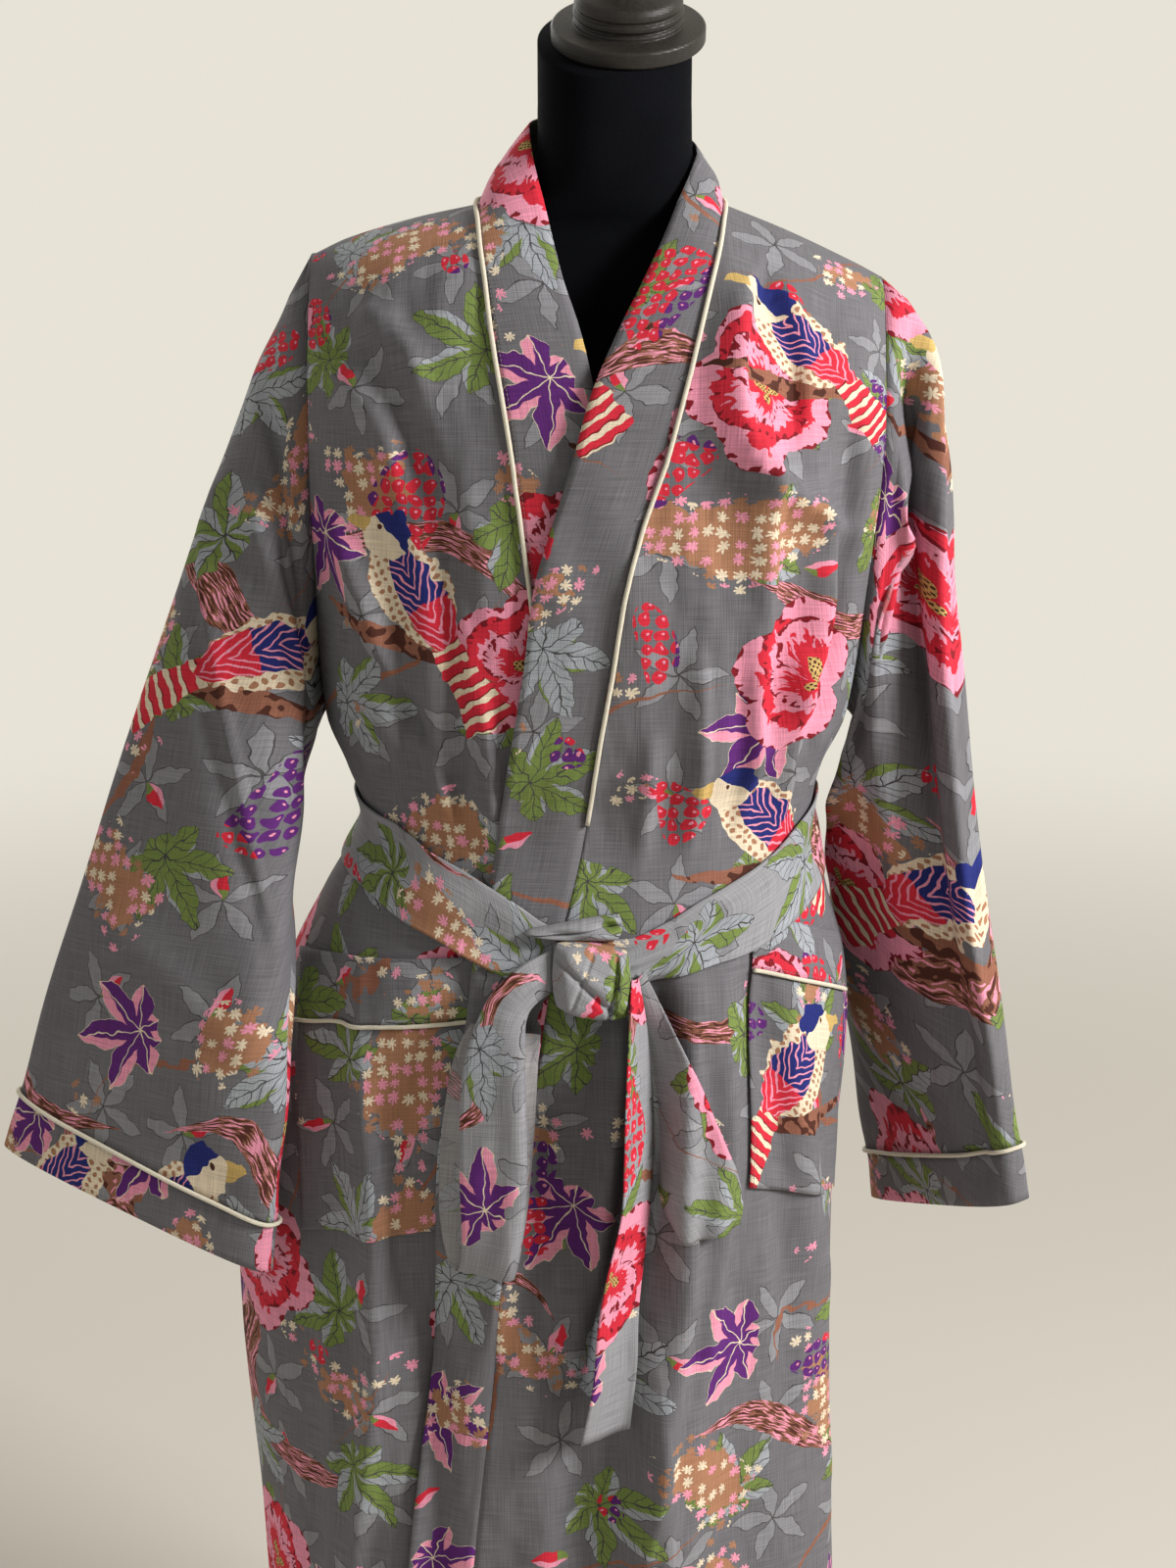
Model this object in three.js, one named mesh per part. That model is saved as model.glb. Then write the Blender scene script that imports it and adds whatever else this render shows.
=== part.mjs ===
// A long kimono robe with a tie belt, worn by a limbless dress form on a turned stand.
// Millimetres, +Z up. The robe's front faces -Y and the wearer's left is towards +X.
// The origin is on the floor, on the axis of the stand's pole.

import * as THREE from 'three';

// Driving dimensions
const CLOTH = 1.5;              // wall that stands for one layer of cloth
const SEAM = 0.3;               // gap between two pieces at a seam
const HEM_Z = 190;
const CHEST_Z = 1250;           // above this level the body rounds over to the shoulders
const ARMPIT_Z = 1050;
const SHOULDER_Y = 6;           // the shoulder seams lie a little behind the axis
const NECK_X = 88;              // half the opening between the shoulder seams
const ARMHOLE_HALF = 52;        // half of the armhole's width, front to back
const NECKLINE_DEPTH = 62;      // how far the back neckline lies behind the shoulder seams
const PIPING_RADIUS = 1.7;
const PIPING_END_Z = 985;       // the upper front's piping stops a little above the belt
const PIPING_UNDER_END_Z = 1040;
const BASE_RADIUS = 175;
const BASE_HEIGHT = 26;
const POLE_RADIUS = 15.5;
const CAP_TILT = 25;            // degrees that the neck cap leans forward
const CAP_CENTRE = [19.5, 0, 1534];
const CAP_RADIUS = 55;
const COLLAR_TOP_Z = 58;         // the base's collar round the pole
const TORSO_Z = 722;             // underside of the torso
const SHOULDER_Z = 1421;         // the shoulder seams' level at the neck
const SHOULDER_CURL = 0.87;      // how round the cloth goes over the shoulder, and behind the neck
const NAPE_CURL = 1.3;
const NAPE_LIFT = 1.2;           // the band's lower edge stands clear of the back panel
const NAPE_RISE = 5;             // the back neckline rises this much towards its middle
const LAYER = 8.6;               // room under the upper front, and less of it under the belt
const LAYER_WAIST = 4.2;
const POCKET_CLEAR = 1.9;
const POCKET_WALL = 1.1;
const BELT_CLEAR = 2.2;
const BELT_WALL = 1.5;
const BELT_OVER_POCKET = 3;      // the belt's lower edge passes over the upper front's pocket
const STRIP_WALL = 1.2;

// Colours
const COLOUR = {
  cloth: 0x6e6f74,
  band: 0x72747a,
  cuff: 0x686a70,
  pocket: 0x75777c,
  belt: 0x8b9299,
  piping: 0xeeeae0,
  velvet: 0x101014,
  wood: 0x1c1a1c,
};

function table(columns, rows) {
  return rows.map((row) => Object.fromEntries(columns.map((name, k) => [name, row[k]])));
}

// Sections of the robe's body. Each is a superellipse with its own extent to each side.
const BODY = table(['z', 'left', 'right', 'front', 'back', 'round'], [
  [190, 270, 200, 172, 154, 2.2],
  [400, 276, 190, 169, 149, 2.2],
  [560, 287, 185, 163, 144, 2.2],
  [690, 284, 185, 157, 140, 2.2],
  [800, 258, 193, 147, 134, 2.2],
  [860, 238, 189, 137, 126, 2.2],
  [910, 212, 175, 127, 116, 2.3],
  [970, 181, 162, 117, 105, 2.3],
  [1010, 192, 168, 120, 108, 2.3],
  [1050, 207, 186, 125, 112, 2.3],
  [1150, 209, 196, 134, 116, 2.3],
  [1250, 209, 204, 133, 114, 2.3],
]);

// The shoulder seams, by distance from the axis.
const SHOULDER = table(['x', 'left', 'right'], [
  [88, 1421, 1421],
  [135, 1411, 1402.5],
  [183, 1397, 1380.5],
  [207, 1386, 1368],
]);

// The band's seam and its free edge on both fronts, by level.
const BAND = table(['z', 'topSeam', 'topFree', 'underSeam', 'underFree'], [
  [190, -112, -160, 62, 112],
  [419, -94, -142, 44, 96],
  [562, -79, -128, 32, 86],
  [655, -70, -120, 22, 78],
  [754, -55, -116, 8, 66],
  [835, -42, -98, -4, 54],
  [893, -32, -90, -14, 46],
  [966, -14, -75, -28, 34],
  [1049, -1, -62, -38, 25],
  [1100, 8, -54, -44, 20],
  [1164, 18, -46, -50, 13],
  [1205, 28, -34, -55, 9],
  [1250, 44, -20, -61, 3],
]);

// Above the chest the seams run on to the shoulder seams, and the free edges stand up at the neck.
const COLLAR = table(['z', 'topSeam', 'topX', 'topY', 'topZ', 'underSeam', 'underX', 'underY', 'underZ'], [
  [1250, 44, -20, -134, 1250, -61, 3, -134, 1250],
  [1294, 56, -7, -128, 1297, -68, -4, -128, 1296],
  [1335, 67, 11, -114, 1338, -75, -14, -114, 1338],
  [1371, 77, 27, -98, 1368, -80, -26, -94, 1372],
  [1395, 83, 43, -73, 1399, -84, -34, -71, 1401],
  [1411, 86, 55, -47, 1426, -86, -41, -47, 1428],
  [1418, 87.5, 63, -31, 1442, -87.5, -48, -31, 1453],
  [1421, 88, 69, -12, 1456, -88, -51, -12, 1471],
]);

// The band's free edge round the back of the neck, by angle from the shoulder seam to centre back.
const NAPE = table(['angle', 'rightX', 'rightZ', 'leftX', 'leftZ', 'y'], [
  [22, 68, 1464, -51, 1478, 16],
  [45, 55, 1471, -40, 1482, 41],
  [68, 31, 1476, -22, 1482, 58],
  [90, 0, 1480, 0, 1480, 65],
]);

// Large soft folds: a ridge or a trough that runs down the cloth.
const FOLDS = table(['face', 'topX', 'topZ', 'lowX', 'lowZ', 'width', 'depth'], [
  [-1, 74, 900, 34, 190, 24, 9],
  [-1, 40, 900, -12, 190, 20, -8],
  [-1, 112, 900, 96, 190, 20, -7],
  [-1, 140, 900, 146, 190, 22, 7],
  [-1, -148, 900, -176, 190, 24, 7],
  [-1, -196, 900, -226, 190, 20, -6],
  [-1, 88, 1180, 84, 960, 20, 6],
  [-1, 130, 1190, 122, 960, 18, -6],
  [-1, -108, 1180, -110, 960, 20, 5],
  [-1, -150, 1160, -142, 960, 18, -5],
  [1, 120, 940, 132, 190, 22, 7],
  [1, 74, 940, 84, 190, 20, -7],
  [1, 24, 940, 30, 190, 24, 8],
  [1, -28, 940, -30, 190, 22, -8],
  [1, -84, 940, -110, 190, 24, 8],
  [1, -136, 940, -172, 190, 22, -7],
  [1, 62, 1180, 56, 980, 20, 6],
  [1, 10, 1160, 8, 980, 18, -5],
  [1, -66, 1180, -60, 980, 20, 6],
]);

// The belt's upper and lower edge round the waist, by angle from the wearer's left through the front.
const BELT = table(['angle', 'top', 'low'], [
  [0, 990, 941],
  [23, 979, 925],
  [53, 950, 897],
  [68, 934, 888],
  [78, 918, 880],
  [86, 908, 874],
  [97, 916, 873],
  [104, 931, 880],
  [111, 943, 890],
  [119, 954, 902],
  [129, 964, 912],
  [143, 978, 926],
  [163, 986, 936],
  [180, 990, 940],
  [270, 997, 948],
  [360, 990, 941],
]);

// Sleeve sections: the outer fold, the underarm fold, half the depth between them and the roundness.
const SLEEVE_COLUMNS = ['topX', 'topY', 'topZ', 'lowX', 'lowY', 'lowZ', 'deep', 'round'];
const SLEEVE_RIGHT = table(SLEEVE_COLUMNS, [
  [-226, 2, 1357, -214, -6, 1034, 51, 2.1],
  [-246, 0, 1315, -221, -20, 1006, 50, 2.1],
  [-262, -3, 1281, -225, -36, 976, 47, 2.2],
  [-284, -6, 1224, -228, -60, 930, 41, 2.3],
  [-307, -9, 1162, -229, -82, 886, 36, 2.4],
  [-349, -15, 1044, -231, -105, 818, 29, 2.6],
  [-388, -20, 934, -235, -115, 764, 24, 2.8],
  [-424, -25, 827, -240, -121, 714, 20, 3.0],
  [-449, -28, 751, -244, -124, 682, 18, 3.1],
  [-463, -30, 708, -247, -126, 644, 18, 3.1],
]);
const SLEEVE_LEFT = table(SLEEVE_COLUMNS, [
  [224, 4, 1353, 195, 5, 1038, 49, 2.1],
  [239, -4, 1325, 196, 13, 1018, 45, 2.1],
  [248, -16, 1284, 193, 26, 988, 41, 2.2],
  [253, -26, 1220, 189, 42, 950, 38, 2.3],
  [257, -36, 1140, 188, 57, 908, 35, 2.4],
  [265, -46, 1050, 196, 72, 860, 32, 2.6],
  [284, -57, 906, 210, 88, 776, 26, 2.8],
  [304, -68, 795, 222, 97, 704, 22, 3.0],
  [315, -76, 722, 231, 102, 650, 20, 3.1],
  [323, -80, 680, 237, 106, 606, 20, 3.1],
]);

// Patch pockets: the corners of each, as distance from the axis and level, with the mouth band's height.
const POCKET_RIGHT = { inX: 74, outX: 226, topIn: 893, topOut: 872, lowIn: 694, lowOut: 668, bandHeight: 46 };
const POCKET_LEFT = { inX: 108, outX: 181, topIn: 921, topOut: 884, lowIn: 716, lowOut: 676, bandHeight: 41 };

// Strips of the belt, from the knot to their ends: both edges, and how far each stands off the robe.
const STRIP_COLUMNS = ['x1', 'z1', 'out1', 'x2', 'z2', 'out2'];
const LOOP = table(STRIP_COLUMNS, [
  [-34.5, 903, 9.4, -34.5, 875, 9.4],
  [-58, 893, 17, -46, 868, 16],
  [-79, 873, 20, -52, 860, 18],
  [-92, 845, 22, -54, 848, 20],
  [-99, 815, 23, -54, 820, 22],
  [-101, 775, 24, -53, 778, 23],
  [-101, 735, 24, -53, 738, 23],
  [-100, 700, 22, -56, 700, 21],
  [-101, 679, 19, -60, 677, 19],
  [-105, 668, 14, -63, 666, 14],
  [-112, 676, 8, -60, 677, 8],
  [-117, 705, 5, -54, 706, 5],
  [-117, 745, 4, -50, 746, 4],
  [-113, 785, 4, -47, 786, 4],
  [-106, 822, 4, -45, 820, 4],
  [-94, 848, 4, -43, 842, 4],
]);
const TAIL_LONG = table(STRIP_COLUMNS, [
  [22, 886, 21, 27, 885, 14],
  [20, 850, 34, 33, 848, 11],
  [18, 806, 42, 37, 805, 11],
  [17, 760, 44, 38, 760, 11],
  [15, 720, 42, 36, 718, 10],
  [5, 676, 38, 32, 678, 9],
  [-2, 629, 33, 28, 634, 8],
  [-5, 587, 30, 27, 590, 7],
  [-14, 540, 28, 22, 541, 7],
]);
const TAIL_SHORT = table(STRIP_COLUMNS, [
  [22, 878, 4.6, 31, 887, 5.2],
  [26, 850, 4, 49, 853, 12],
  [32, 815, 4, 66, 823, 15],
  [38, 780, 4, 82, 786, 17],
  [41, 745, 4, 97, 747, 18],
  [45, 718, 4, 104, 714, 18],
  [61, 692, 5, 102, 697, 17],
]);

// The knot and the small fold of belt that lies on its upper edge.
const KNOT = { x1: -34, x2: 20, z1: 858, z2: 905, depth: 23, edge: 6, round: 2.6 };
const EAR = { x1: -50, x2: 14, z1: 906, z2: 924, depth: 8, edge: 2, round: 2.2 };

// Sections of the dress form, each a superellipse with its own extent to each side.
const FORM = table(['z', 'left', 'right', 'front', 'back', 'round'], [
  [TORSO_Z, 146, 146, 92, 104, 2.1],
  [728, 156, 156, 100, 112, 2.1],
  [810, 165, 165, 108, 120, 2.1],
  [880, 154, 154, 102, 110, 2.1],
  [950, 128, 128, 92, 90, 2.1],
  [1005, 115, 115, 88, 84, 2.1],
  [1080, 126, 126, 98, 88, 2.1],
  [1170, 146, 146, 116, 96, 2.1],
  [1250, 156, 156, 106, 100, 2.1],
  [1310, 172, 172, 84, 94, 2.1],
  [1348, 185, 183, 64, 82, 2.1],
  [1370, 186, 176, 54, 74, 2.1],
  [1384, 183, 165, 49, 68, 2.1],
  [1394, 173, 146, 47, 65, 2.1],
  [1402, 150, 126, 46, 63, 2.0],
  [1410, 120, 106, 47, 61, 2.0],
  [1417, 88, 87, 50, 59, 2.0],
  [1428, 60, 74, 53, 57, 2.0],
  [1448, 47, 67, 55, 55, 2.0],
  [1490, 45, 65, 55, 55, 2.0],
]);

// Counts of the grids
const PANEL_COLUMNS = 17;
const BAND_COLUMNS = 3;
const BACK_SIDE_COLUMNS = 8;
const BACK_NECK_COLUMNS = 8;
const SHOULDER_ANGLES = [16, 32, 46, 59, 71, 81, 90];
const LEVELS = [
  HEM_Z, 270, 350, 430, 510, 590, 670, 735, 795, 845, 885, 915, 945, 970, 995, 1020, ARMPIT_Z,
  1085, 1120, 1160, 1205, CHEST_Z,
];

const radians = (degrees) => degrees * Math.PI / 180;
const mix = (a, b, t) => a + (b - a) * t;
const clamp = (value, low, high) => Math.min(high, Math.max(low, value));
const add = (p, q, scale = 1) => [p[0] + q[0] * scale, p[1] + q[1] * scale, p[2] + q[2] * scale];
const mixPoints = (p, q, t) => [mix(p[0], q[0], t), mix(p[1], q[1], t), mix(p[2], q[2], t)];

function smoothstep(low, high, value) {
  const t = clamp((value - low) / (high - low), 0, 1);
  return t * t * (3 - 2 * t);
}

function unit(v) {
  const size = Math.hypot(v[0], v[1], v[2]) || 1;
  return [v[0] / size, v[1] / size, v[2] / size];
}

function cross(a, b) {
  return [a[1] * b[2] - a[2] * b[1], a[2] * b[0] - a[0] * b[2], a[0] * b[1] - a[1] * b[0]];
}

// A smooth curve through a table's rows, by the slopes of each row's neighbours.
function sample(rows, key, name, value) {
  if (value <= rows[0][key]) return rows[0][name];
  const last = rows.length - 1;
  if (value >= rows[last][key]) return rows[last][name];
  let k = 0;
  while (value > rows[k + 1][key]) k += 1;
  const slope = (i) => {
    const a = rows[Math.max(i - 1, 0)];
    const b = rows[Math.min(i + 1, last)];
    return (b[name] - a[name]) / (b[key] - a[key]);
  };
  const span = rows[k + 1][key] - rows[k][key];
  const t = (value - rows[k][key]) / span;
  const h = [2 * t ** 3 - 3 * t ** 2 + 1, t ** 3 - 2 * t ** 2 + t, 3 * t ** 2 - 2 * t ** 3, t ** 3 - t ** 2];
  const ends = h[0] * rows[k][name] + h[2] * rows[k + 1][name];
  return ends + (h[1] * slope(k) + h[3] * slope(k + 1)) * span;
}

// The robe's body surface. face is -1 at the front and 1 at the back.
function armholeHalf(z) {
  const t = clamp((z - ARMPIT_Z) / (CHEST_Z - ARMPIT_Z), 0, 1);
  return ARMHOLE_HALF * Math.sin(t * Math.PI / 2) ** 0.75;
}

function section(face, z) {
  const level = Math.min(z, CHEST_Z);
  const depth = sample(BODY, 'z', face < 0 ? 'front' : 'back', level);
  const power = sample(BODY, 'z', 'round', level);
  const open = (armholeHalf(level) / depth) ** (power / 2);
  const start = Math.asin(open);
  const stretch = Math.cos(start) ** (2 / power);
  return {
    face, depth, power, start,
    left: sample(BODY, 'z', 'left', level) / stretch,
    right: sample(BODY, 'z', 'right', level) / stretch,
  };
}

// angle runs from 0 at the wearer's left to pi at the wearer's right.
function sectionPoint(s, angle) {
  const c = Math.cos(angle);
  const width = c < 0 ? s.left : s.right;
  const x = width * Math.sign(c) * Math.abs(c) ** (2 / s.power);
  const y = s.face * s.depth * Math.abs(Math.sin(angle)) ** (2 / s.power);
  const nx = Math.sign(x) * (Math.abs(x) / width) ** (s.power - 1) / width;
  const ny = s.face * (Math.abs(y) / s.depth) ** (s.power - 1) / s.depth;
  return { point: [x, y], normal: unit([nx, ny, 0]) };
}

function angleAt(s, x) {
  const width = x < 0 ? s.left : s.right;
  const c = clamp(Math.abs(x) / width, 0, 1) ** (s.power / 2);
  return x < 0 ? Math.PI - Math.acos(c) : Math.acos(c);
}

// The front's upper layer, pocket and belt need room over the layer below.
function layerDepth(z) {
  const waist = smoothstep(1030, 1000, z) * smoothstep(880, 908, z);
  return mix(LAYER, LAYER_WAIST, waist) * smoothstep(1400, 1325, z);
}

function layerAt(x, z) {
  return layerDepth(z) * smoothstep(165, 92, x);
}

function foldAt(face, x, z) {
  let offset = 0;
  for (const fold of FOLDS) {
    if (fold.face !== face || z > fold.topZ + 20 || z < fold.lowZ - 20) continue;
    const t = clamp((fold.topZ - z) / (fold.topZ - fold.lowZ), 0, 1);
    const across = (x - mix(fold.topX, fold.lowX, t)) / fold.width;
    const fade = smoothstep(fold.topZ + 20, fold.topZ - 60, z) * smoothstep(912, 860, z);
    const upper = smoothstep(fold.topZ + 20, fold.topZ - 90, z) * smoothstep(960, 1040, z);
    offset += fold.depth * Math.exp(-across * across) * (fold.topZ > 1000 ? upper : fade);
  }
  return offset;
}

function shoulderPoint(face, x, z0) {
  const across = Math.abs(x);
  const z = sample(SHOULDER, 'x', x < 0 ? 'left' : 'right', clamp(across, NECK_X, 207));
  if (face < 0 || across >= NECK_X) return [SHOULDER_Y, z, SHOULDER_CURL];
  const inside = Math.sqrt(1 - (x / NECK_X) ** 2);
  const curl = mix(SHOULDER_CURL, NAPE_CURL, inside);
  return [SHOULDER_Y + NECKLINE_DEPTH * inside, z + NAPE_RISE * inside, curl];
}

// A point of the body at a section angle, rise being the angle over the shoulder from 0 to pi / 2.
function bodyPoint(s, angle, z, rise, offset) {
  const at = sectionPoint(s, angle);
  const [x, y] = at.point;
  const out = offset + foldAt(s.face, x, z);
  if (rise === 0) return [x + at.normal[0] * out, y + at.normal[1] * out, z];
  const [ridgeY, ridgeZ, curl] = shoulderPoint(s.face, x);
  const rounded = Math.cos(rise) ** curl;
  const point = [x, mix(ridgeY, y, rounded), mix(CHEST_Z, ridgeZ, Math.sin(rise))];
  const lift = Math.max(Math.cos(rise), 0);
  const normal = unit([at.normal[0] * lift, at.normal[1] * lift, Math.sin(rise)]);
  return add(point, normal, out);
}

// Angles from begin to end that part the section into stretches of about even length.
function evenAngles(s, begin, end, count) {
  const fine = 60;
  const angles = Array.from({ length: fine + 1 }, (_, k) => mix(begin, end, k / fine));
  const points = angles.map((angle) => sectionPoint(s, angle).point);
  const lengths = [0];
  for (let k = 1; k <= fine; k += 1) {
    const step = Math.hypot(points[k][0] - points[k - 1][0], points[k][1] - points[k - 1][1]);
    lengths.push(lengths[k - 1] + step);
  }
  let k = 0;
  return Array.from({ length: count + 1 }, (_, j) => {
    const goal = lengths[fine] * j / count;
    while (k < fine - 1 && lengths[k + 1] < goal) k += 1;
    return mix(angles[k], angles[k + 1], clamp((goal - lengths[k]) / (lengths[k + 1] - lengths[k]), 0, 1));
  });
}

function frontY(x, z) {
  const s = section(-1, z);
  const at = sectionPoint(s, angleAt(s, x));
  return at.point[1] - foldAt(-1, x, z) - layerDepth(z);
}

// Rows of the body grids: straight levels up to the chest, then angles over the shoulder.
function bodyRows(perRow) {
  const low = LEVELS.map((z) => perRow(z, 0));
  const high = SHOULDER_ANGLES.map((degrees) => perRow(CHEST_Z, radians(degrees)));
  return low.concat(high);
}

// Closed bodies from grids of points
function gridNormals(grid, wrap) {
  const rows = grid.length;
  const columns = grid[0].length;
  return grid.map((row, i) => row.map((point, j) => {
    const up = grid[Math.min(i + 1, rows - 1)][j];
    const down = grid[Math.max(i - 1, 0)][j];
    const next = wrap ? row[(j + 1) % columns] : row[Math.min(j + 1, columns - 1)];
    const back = wrap ? row[(j + columns - 1) % columns] : row[Math.max(j - 1, 0)];
    return unit(cross(add(next, back, -1), add(up, down, -1)));
  }));
}

function shiftGrid(grid, distance, wrap = false) {
  const normals = gridNormals(grid, wrap);
  return grid.map((row, i) => row.map((point, j) => add(point, normals[i][j], distance)));
}

function closedBody(outer, inner, wrap = false) {
  const rows = outer.length;
  const columns = outer[0].length;
  const positions = outer.flat().concat(inner.flat()).flat();
  const shell = rows * columns;
  const faces = [];
  const quad = (a, b, c, d) => faces.push(a, b, c, a, c, d);
  const at = (i, j, k) => k * shell + i * columns + (j % columns);
  const spans = wrap ? columns : columns - 1;
  for (let i = 0; i < rows - 1; i += 1) {
    for (let j = 0; j < spans; j += 1) {
      quad(at(i, j, 0), at(i, j + 1, 0), at(i + 1, j + 1, 0), at(i + 1, j, 0));
      quad(at(i, j, 1), at(i + 1, j, 1), at(i + 1, j + 1, 1), at(i, j + 1, 1));
    }
  }
  for (let j = 0; j < spans; j += 1) {
    quad(at(0, j, 1), at(0, j + 1, 1), at(0, j + 1, 0), at(0, j, 0));
    quad(at(rows - 1, j, 0), at(rows - 1, j + 1, 0), at(rows - 1, j + 1, 1), at(rows - 1, j, 1));
  }
  if (!wrap) {
    const end = columns - 1;
    for (let i = 0; i < rows - 1; i += 1) {
      quad(at(i, 0, 0), at(i + 1, 0, 0), at(i + 1, 0, 1), at(i, 0, 1));
      quad(at(i, end, 1), at(i + 1, end, 1), at(i + 1, end, 0), at(i, end, 0));
    }
  }
  return geometry(positions, faces);
}

// A solid through closed rings, with a flat fan at each end.
function loft(rings) {
  const columns = rings[0].length;
  const positions = rings.flat().flat();
  const faces = [];
  for (let i = 0; i < rings.length - 1; i += 1) {
    for (let j = 0; j < columns; j += 1) {
      const next = (j + 1) % columns;
      const [a, b] = [i * columns + j, i * columns + next];
      faces.push(a, b, b + columns, a, b + columns, a + columns);
    }
  }
  const ends = [rings[0], rings[rings.length - 1]];
  ends.forEach((ring, end) => {
    const centre = [0, 1, 2].map((k) => ring.reduce((sum, point) => sum + point[k], 0) / columns);
    const hub = positions.length / 3;
    positions.push(...centre);
    const start = end * (rings.length - 1) * columns;
    for (let j = 0; j < columns; j += 1) {
      const [a, b] = [start + j, start + (j + 1) % columns];
      if (end === 0) faces.push(hub, b, a);
      else faces.push(hub, a, b);
    }
  });
  return geometry(positions, faces);
}

// A round cord along points, sitting on the outside given by outward directions.
function cordBody(points, outward, radius, closed = false) {
  const sides = 6;
  const count = points.length;
  const rings = points.map((point, i) => {
    const before = closed ? points[(i + count - 1) % count] : points[Math.max(i - 1, 0)];
    const after = closed ? points[(i + 1) % count] : points[Math.min(i + 1, count - 1)];
    const along = unit(add(after, before, -1));
    const side = unit(cross(along, outward[i]));
    const up = unit(cross(side, along));
    const centre = add(point, up, radius + SEAM);
    return Array.from({ length: sides }, (_, k) => {
      const angle = (k + 0.5) / sides * 2 * Math.PI;
      return add(add(centre, side, radius * Math.cos(angle)), up, radius * Math.sin(angle));
    });
  });
  if (!closed) return loft(rings);
  const positions = rings.flat().flat();
  const faces = [];
  for (let i = 0; i < count; i += 1) {
    for (let j = 0; j < sides; j += 1) {
      const row = ((i + 1) % count) * sides;
      const [a, b] = [i * sides + j, i * sides + (j + 1) % sides];
      const [c, d] = [row + (j + 1) % sides, row + j];
      faces.push(a, b, c, a, c, d);
    }
  }
  return geometry(positions, faces);
}

function geometry(positions, faces) {
  let volume = 0;
  const corner = (k) => positions.slice(3 * k, 3 * k + 3);
  for (let i = 0; i < faces.length; i += 3) {
    const [a, b, c] = [corner(faces[i]), corner(faces[i + 1]), corner(faces[i + 2])];
    const normal = cross(b, c);
    volume += a[0] * normal[0] + a[1] * normal[1] + a[2] * normal[2];
  }
  if (volume < 0) {
    for (let i = 0; i < faces.length; i += 3) {
      [faces[i + 1], faces[i + 2]] = [faces[i + 2], faces[i + 1]];
    }
  }
  const result = new THREE.BufferGeometry();
  result.setAttribute('position', new THREE.Float32BufferAttribute(positions, 3));
  result.setIndex(faces);
  result.computeVertexNormals();
  return result;
}

const model = new THREE.Group();

function place(name, body, colour, roughness = 0.85) {
  const material = new THREE.MeshStandardMaterial({ color: colour, roughness, metalness: 0 });
  const mesh = new THREE.Mesh(body, material);
  mesh.name = name;
  model.add(mesh);
}

// One front with its band as a single skin, from the side seam to the free edge.
function frontSkin(side, top) {
  const names = top ? ['topSeam', 'topFree'] : ['underSeam', 'underFree'];
  const collar = top ? ['topX', 'topY', 'topZ'] : ['underX', 'underY', 'underZ'];
  return bodyRows((z, rise) => {
    const s = section(-1, z);
    const begin = side > 0 ? s.start : Math.PI - s.start;
    const seamLevel = rise === 0 ? z : mix(CHEST_Z, SHOULDER_Z, Math.sin(rise));
    const seamX = rise === 0 ? sample(BAND, 'z', names[0], z) : sample(COLLAR, 'z', names[0], seamLevel);
    const end = angleAt(s, seamX);
    const row = [];
    const put = (angle) => {
      const x = sectionPoint(s, angle).point[0];
      const layer = top ? layerAt(x, seamLevel) : 0;
      row.push(bodyPoint(s, angle, z, rise, layer));
    };
    evenAngles(s, begin, end, PANEL_COLUMNS).forEach(put);
    if (rise === 0) {
      const free = angleAt(s, sample(BAND, 'z', names[1], z));
      for (let j = 1; j <= BAND_COLUMNS; j += 1) put(mix(end, free, j / BAND_COLUMNS));
    } else {
      const edge = collar.map((name) => sample(COLLAR, 'z', name, seamLevel));
      edge[1] -= top ? layerDepth(seamLevel) : 0;
      const seam = row[PANEL_COLUMNS];
      for (let j = 1; j <= BAND_COLUMNS; j += 1) {
        const t = j / BAND_COLUMNS;
        const bulge = 5 * Math.sin(Math.PI * t) * Math.sin(rise);
        const away = unit([seam[0] + edge[0] - 20, (seam[1] + edge[1]) * 0.4, 60]);
        row.push(add(mixPoints(seam, edge, t), away, bulge));
      }
    }
    row[0][1] = rise === 0 && z <= ARMPIT_Z ? -SEAM / 2 : row[0][1];
    if (Math.cos(rise) < 0.001) {
      row.slice(0, PANEL_COLUMNS + 1).forEach((point) => { point[1] = SHOULDER_Y - SEAM / 2; });
    }
    return row;
  });
}

// Cut the end of each row back along the row, so that two pieces leave a seam gap.
function trimColumn(grid, column, neighbour, amount) {
  return grid.map((row) => {
    const result = row.slice();
    const towards = unit(add(row[neighbour], row[column], -1));
    result[column] = add(row[column], towards, amount);
    return result;
  });
}

function columnsOf(grid, first, last) {
  return grid.map((row) => row.slice(first, last + 1));
}

// Inner points keep their outer point's place across the seam, so the wall's edge stays in the seam plane.
function fixEdges(outer, inner, rowsFixed, axisRow, axisColumn, column) {
  inner.forEach((row, i) => {
    const flatSide = LEVELS[i] !== undefined && LEVELS[i] <= ARMPIT_Z;
    const axis = flatSide ? axisColumn[0] : axisColumn[1];
    row[column][axis] = outer[i][column][axis];
  });
  const last = outer.length - 1;
  for (let j = rowsFixed[0]; j <= rowsFixed[1]; j += 1) inner[last][j][axisRow] = outer[last][j][axisRow];
}

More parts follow.
